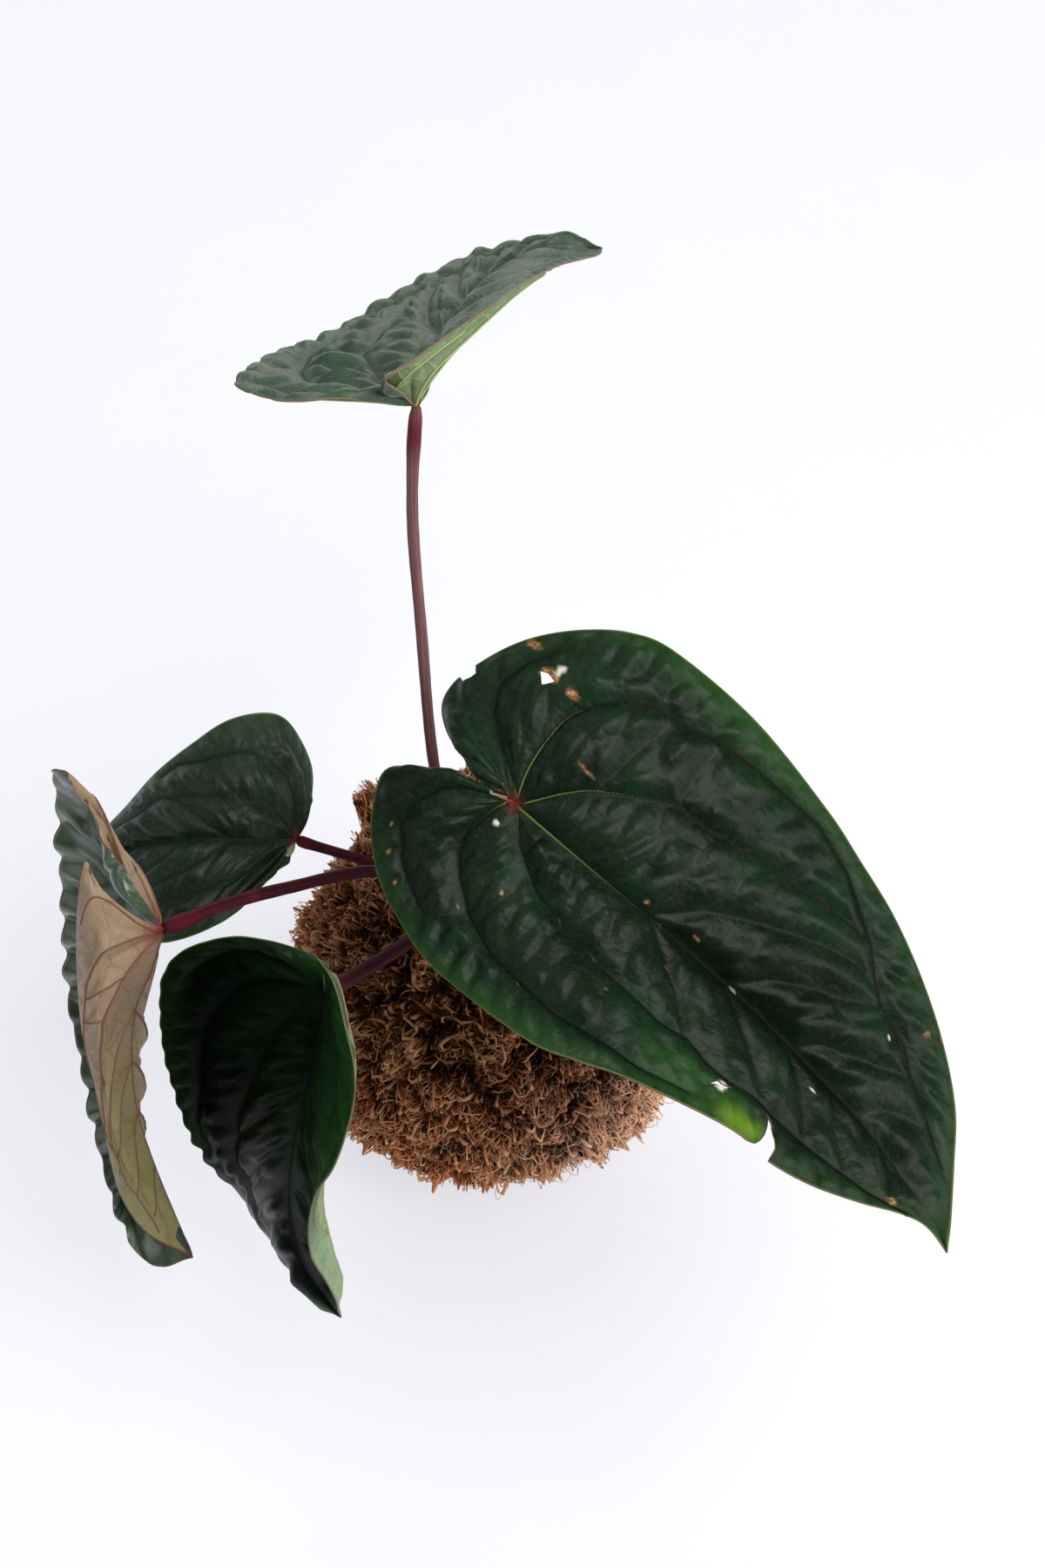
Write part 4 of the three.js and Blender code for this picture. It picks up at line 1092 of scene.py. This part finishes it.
def strand_paths(random, count, rings, lift, length, curl):
    """Middle lines of strands that lie on the ball, curl, and come free at their ends."""
    z, turn = even_spread(count)
    z = np.clip(z + random.normal(0, 0.01, count), -0.985, 0.999)
    turn = turn + random.normal(0, 0.05, count)
    direction = on_ball(z, turn)
    east = np.column_stack([-np.sin(turn), np.cos(turn), np.zeros(count)])
    x, y = direction[:, 0], direction[:, 1]
    swirl = 2.6 * np.sin(5.1 * x + 3.7 * y) + 2.2 * np.sin(6.3 * z - 4.1 * y) + random.normal(0, 0.8, count)
    heading = around(east, np.cross(direction, east), swirl)
    lengths = random.gamma(4, length / 4, count).clip(length * 0.3, length * 2.4)
    bend = random.normal(0, curl, count)
    twist = random.normal(0, curl * 1.3, count)
    phase = random.uniform(0, FULL_TURN, count)
    peak = lift * random.gamma(2.2, 0.45, count).clip(0.1, 3.2)
    loose = random.uniform(0, 1, count) < LOOSE_ENDS
    tip = np.where(loose, random.uniform(0.3, 1.6, count), random.uniform(-1, 0.4, count)) * lift
    step = lengths / rings / BALL_RADIUS
    places = []
    for share in np.arange(rings + 1) / rings:
        height = (-0.9 + peak * np.sin(np.pi * min(share * 1.15, 1)) + tip * share ** 2
                  + 0.35 * lift * np.sin(phase + share * 7))
        places.append(direction * (bed_radius(direction) + height)[:, None] + BALL_CENTRE)
        turned = bend * (1 + 0.8 * math.cos(3 * share)) + twist * np.sin(phase + 6.3 * share)
        heading = around(heading, np.cross(direction, heading), turned / rings)
        direction, heading = around(direction, heading, step), around(heading, -direction, step)
    return np.stack(places, 1)


def keep_clear(paths):
    """Strands stay above the floor, and those near the rootstock lie down into the bed."""
    paths[..., 2] = np.maximum(paths[..., 2], STRAND_FLOOR)
    gap = np.hypot(paths[..., 0] - CROWN[0], paths[..., 1] - CROWN[1])
    top = (paths[..., 2] > BALL_CENTRE[2] + BALL_TOP) & (gap < CROWN_HOLLOW)
    paths[..., 2] -= np.where(top, 3.2 * (1 - gap / CROWN_HOLLOW), 0)
    push = np.where(top & (gap < CROWN_CLEARANCE), CROWN_CLEARANCE / np.maximum(gap, 0.5), 1)
    for axis in (0, 1):
        paths[..., axis] = CROWN[axis] + (paths[..., axis] - CROWN[axis]) * push
    return paths


def copied_mesh(rod, count, apart):
    """The rod's mesh many times over in a row, from an array modifier."""
    rows = rod.modifiers.new("copies", "ARRAY")
    rows.count = count
    rows.use_relative_offset = False
    rows.use_constant_offset = True
    rows.constant_offset_displace = (apart, 0, 0)
    bpy.context.view_layer.update()
    mesh = bpy.data.meshes.new_from_object(rod.evaluated_get(bpy.context.evaluated_depsgraph_get()))
    rod.modifiers.clear()
    rod.data = mesh
    return mesh


def build_strands(name, material, seed, count, rings, thickness, fray, tone_mean, tone_spread, **ways):
    random = np.random.default_rng(seed)
    paths = keep_clear(strand_paths(random, count, rings, **ways))
    rod = object_from(strand_shape(rings), name, [])
    apart = 10
    mesh = copied_mesh(rod, count, apart)
    local = np.empty(len(mesh.vertices) * 3, np.float32)
    mesh.vertices.foreach_get("co", local)
    local = local.reshape(-1, 3)
    which = np.rint(local[:, 0] / apart).astype(int)
    ring = np.rint((local[:, 2] + 0.5) * rings).astype(int)
    angle = np.arctan2(local[:, 1], local[:, 0] - which * apart)
    tangent = unit(np.gradient(paths, axis=1))
    outward = paths - BALL_CENTRE
    side = unit(np.cross(tangent, outward))
    over = np.cross(side, tangent)
    thick = thickness * np.exp(random.normal(0, 0.42, count)).clip(0.45, 2.1)
    taper = np.interp(np.linspace(0, 7, rings + 1), range(8), [0.7, 1.0, 1.05, 1.0, 0.9, 0.75, 0.55, 0.25])
    uneven = random.uniform(1 - fray, 1 + fray, (count, rings + 1))
    reach = (thick[which] * taper[ring] * uneven[which, ring])[:, None]
    places = paths[which, ring] + reach * around(
        side[which, ring] * STRAND_WIDTH, over[which, ring] * STRAND_HEIGHT, angle)
    places[:, 2] = np.maximum(places[:, 2], 0.05)
    mesh.vertices.foreach_set("co", (places * MM).astype(np.float32).ravel())
    tone = np.clip(random.normal(tone_mean, tone_spread, count), 0, 1)
    direction = unit(outward)
    # how high each strand stands out of the moss, which sets its painted shade in the gaps and its painted
    # highlight on top
    height = np.linalg.norm(outward, axis=2) - bed_radius(direction)
    hump = np.clip(0.6 + clumps(direction) / 4.4, 0, 1)
    depth = np.clip(0.45 * (height + 0.9) / 2.4 + 0.55 * hump, 0, 1)
    for layer, values in (("tone", tone[which]), ("depth", depth[which, ring])):
        made = mesh.attributes.new(layer, "FLOAT", "POINT")
        made.data.foreach_set("value", values.astype(np.float32))
    mesh.materials.append(material)
    builder = bmesh.new()
    builder.from_mesh(mesh)
    bmesh.ops.recalc_face_normals(builder, faces=builder.faces)
    builder.to_mesh(mesh)
    builder.free()
    mesh.shade_smooth()
    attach(rod, "root")


# Kinds of strands: the names of the pieces, the seed of the first, and how they are made
STRANDS = [
    (["moss_sprigs_1", "moss_sprigs_2", "moss_sprigs_3", "moss_sprigs_4"], 21, dict(
        count=5500, rings=5, lift=1.6, length=6.0, curl=2.6, thickness=0.29, fray=0.4,
        tone_mean=0.46, tone_spread=0.27)),
    (["moss_fuzz_1", "moss_fuzz_2", "moss_fuzz_3"], 31, dict(
        count=8600, rings=3, lift=1.7, length=3.8, curl=1.8, thickness=0.16, fray=0.3,
        tone_mean=0.52, tone_spread=0.26)),
    (["moss_stray"], 41, dict(
        count=700, rings=9, lift=2.6, length=11, curl=3.0, thickness=0.16, fray=0.2,
        tone_mean=0.62, tone_spread=0.2)),
]


def build_moss():
    strands = moss_strand_finish()
    build_bed(moss_bed_finish())
    for names, seed, ways in STRANDS:
        for i, name in enumerate(names):
            build_strands(name, strands, seed + i, **ways)


# Stage

# Lamps: their size in metres, power in watts, place, and the height of the spot they aim at
LAMPS = {
    "window": (1.0, 17, (0.6, -0.35, 1.35), 0.12),
    "backdrop glow": (1.1, 9, (0.1, 1.9, 0.85), 0.15),
    "side glow": (1.0, 3.5, (-0.6, 0.5, 1.3), 0.12),
    "side window": (1.0, 7, (1.25, -0.5, 0.5), 0.06),
    "left glow": (0.9, 2.0, (-1.0, -0.45, 0.8), 0.12),
}


def build_stage():
    floor = bmesh.new()
    bmesh.ops.create_grid(floor, x_segments=2, y_segments=2, size=4)
    object_from(floor, "floor", [floor_finish()])

    scene = bpy.context.scene
    scene.world = bpy.data.worlds.new("soft studio")
    scene.world.use_nodes = True
    sky = scene.world.node_tree.nodes["Background"]
    sky.inputs["Color"].default_value = (0.93, 0.95, 1.0, 1.0)
    sky.inputs["Strength"].default_value = 0.13

    for name, (size, power, place, aim) in LAMPS.items():
        lamp = bpy.data.lights.new(name, "AREA")
        lamp.shape = "DISK"
        lamp.size = size
        lamp.energy = power
        lamp.color = (1.0, 0.98, 0.95)
        holder = bpy.data.objects.new(name, lamp)
        holder.location = place
        holder.rotation_euler = (Vector(place) - Vector((0, 0, aim))).to_track_quat("Z", "Y").to_euler()
        scene.collection.objects.link(holder)

    scene.view_settings.view_transform = "Standard"
    lens = bpy.data.cameras.new("camera")
    lens.lens = 50
    lens.sensor_width = 36
    scene.camera = bpy.data.objects.new("camera", lens)
    scene.camera.location = (0.0088, -0.3149, 0.6066)
    scene.camera.rotation_euler = (math.radians(35), 0, 0)
    scene.collection.objects.link(scene.camera)


# Finishes of each leaf

# The lit, glow and margin colours are painted light shining through the blade; the groove colour and its
# shares are painted shade.
DARK_UPPER = Tones(
    deep=(8, 22, 11), mid=(18, 44, 21), cell=(9, 23, 11), cell_light=0.4, groove=0.85, vein_dark=(5, 11, 6),
    margin=(30, 64, 25), bright=(42, 76, 40), lit=(38, 78, 28), glow=(96, 132, 26), line=(140, 140, 74),
    line_share=0.35, junction=(104, 26, 24), specular=0.17, dull=0.6, gloss=0.33, rim_gloss=0.0)
UPPER = {
    "right": DARK_UPPER,
    # the low leaf: the right leaf's finish made much darker and almost without reflection, painted shade as
    # it faces away from the light, with painted light through its margin in the lit patches
    "low": Tones(
        DARK_UPPER, deep=(2, 5, 2), mid=(7, 15, 7), cell=(5, 10, 5), bright=(12, 22, 12), vein_dark=(3, 7, 3),
        margin=(24, 48, 20), junction=(18, 12, 8), lit=(46, 88, 42), specular=0.01, rim_gloss=0.1, dull=0.5),
    "top": Tones(
        DARK_UPPER, deep=(42, 66, 48), mid=(64, 90, 68), cell=(38, 56, 44), cell_light=0.5, dull=0.4,
        vein_dark=(30, 44, 36), bright=(98, 118, 102), margin=(56, 86, 54), gloss=0.34, specular=0.42,
        line=(96, 76, 50), line_share=0.3),
    "left": Tones(
        DARK_UPPER, deep=(30, 54, 34), mid=(52, 80, 52), cell=(40, 58, 42), vein_dark=(30, 50, 32),
        bright=(96, 118, 92), margin=(52, 76, 46), gloss=0.26, specular=0.6, rim_gloss=0.8, dull=0.5,
        line=(110, 70, 50), line_share=0.4),
    "back": Tones(
        DARK_UPPER, deep=(10, 24, 13), mid=(20, 42, 24), cell=(14, 26, 17), cell_light=0.3, dull=0.45,
        vein_dark=(14, 28, 18), bright=(70, 94, 68), margin=(40, 70, 38), specular=0.3, gloss=0.38),
}
DARK_UNDER = Tones(
    pale=(128, 156, 112), flush=(104, 132, 94), net=(156, 174, 136), cell_share=0.35, rib=(160, 172, 130),
    bloom=(150, 172, 140), low=(128, 150, 104), low_from=60, low_to=120, line=(118, 92, 56), line_share=0.5,
    junction=(120, 40, 34), hem=(38, 62, 30), hem_share=0.0, rim_sinus=(150, 66, 60))
UNDER = {
    "right": DARK_UNDER,
    # the low leaf's underside: darker at the sinus and the rim, and along the edge towards the sinus end, all
    # painted shade
    "low": Tones(DARK_UNDER, hem_share=0.95, line=(98, 112, 56), rim_sinus=(14, 20, 10),
                 junction=(34, 44, 22)),
    "back": DARK_UNDER,
    "top": Tones(
        DARK_UNDER, pale=(116, 134, 94), flush=(88, 112, 64), net=(156, 174, 130), cell_share=0.5,
        junction=(124, 112, 70), low=(150, 170, 122), rib=(182, 192, 160), line=(140, 110, 84),
        line_share=0.6),
    "left": Tones(
        DARK_UNDER, pale=(153, 130, 107), flush=(139, 121, 92), net=(118, 88, 64), cell_share=0.42,
        rib=(150, 116, 94), bloom=(184, 166, 146), low=(136, 130, 78), low_from=10, low_to=105,
        line=(96, 46, 36), line_share=0.9),
}
DARK_VEINS = Tones(
    near=(86, 110, 54), far=(9, 20, 10), fade_from=0.03, fade_to=0.27, rib_near=(170, 130, 96),
    rib_far=(150, 160, 120), mottle=(60, 84, 40), junction=(104, 26, 24))
VEIN_TONES = {
    "right": DARK_VEINS,
    # the low leaf's veins are darker too: painted shade
    "low": Tones(DARK_VEINS, near=(20, 32, 18), far=(6, 12, 6), junction=(26, 16, 10)),
    "back": Tones(DARK_VEINS, near=(70, 92, 50), far=(22, 42, 26)),
    "top": Tones(DARK_VEINS, near=(70, 92, 60), far=(40, 58, 44), rib_near=(156, 176, 118),
                 rib_far=(148, 170, 108), mottle=(150, 170, 120)),
    "left": Tones(DARK_VEINS, near=(120, 140, 70), far=(44, 66, 42), rib_near=(126, 80, 64),
                  rib_far=(122, 94, 72), mottle=(120, 90, 68)),
}
PLUM = Tones(
    dark=(50, 14, 23), mid=(82, 27, 38), warm=(92, 34, 37), groove=(30, 9, 14), knee=(100, 24, 34),
    knee_share=0.4, speck=(126, 70, 78), foot=(50, 26, 26), foot_share=0.3)
PALE_PLUM = Tones(
    dark=(96, 62, 64), mid=(142, 106, 106), warm=(120, 80, 78), groove=(70, 36, 42), knee=(96, 28, 38),
    knee_share=0.9, speck=(176, 146, 146), foot=(58, 32, 32), foot_share=0.95)


# The plant

def build_plant():
    plum = petiole_finish("petiole plum", PLUM)
    pale_plum = petiole_finish("petiole pale plum", PALE_PLUM)
    for name, leaf in LEAVES.items():
        slot_name = "leaf_dark" if name in ("right", "low") else "leaf_grey_green"
        sheet = Sheet(leaf)
        materials = [
            blade_upper_finish(f"upper face, {name}", UPPER[name]),
            blade_under_finish(f"underside, {name}", UNDER[name]),
            blade_rim_finish(f"blade edge, {name}", UNDER[name]),
        ]
        build_blade(name, leaf, sheet, materials, slot_name)
        build_veins(name, leaf, sheet, vein_finish(f"veins, {name}", VEIN_TONES[name]), slot_name)
        build_petiole(name, leaf, pale_plum if name == "top" else plum)
    build_crown(crown_finish())
    build_moss()
    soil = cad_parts["soil_ball"]
    soil.data.materials.clear()
    soil.data.materials.append(soil_finish())


build_plant()
build_stage()
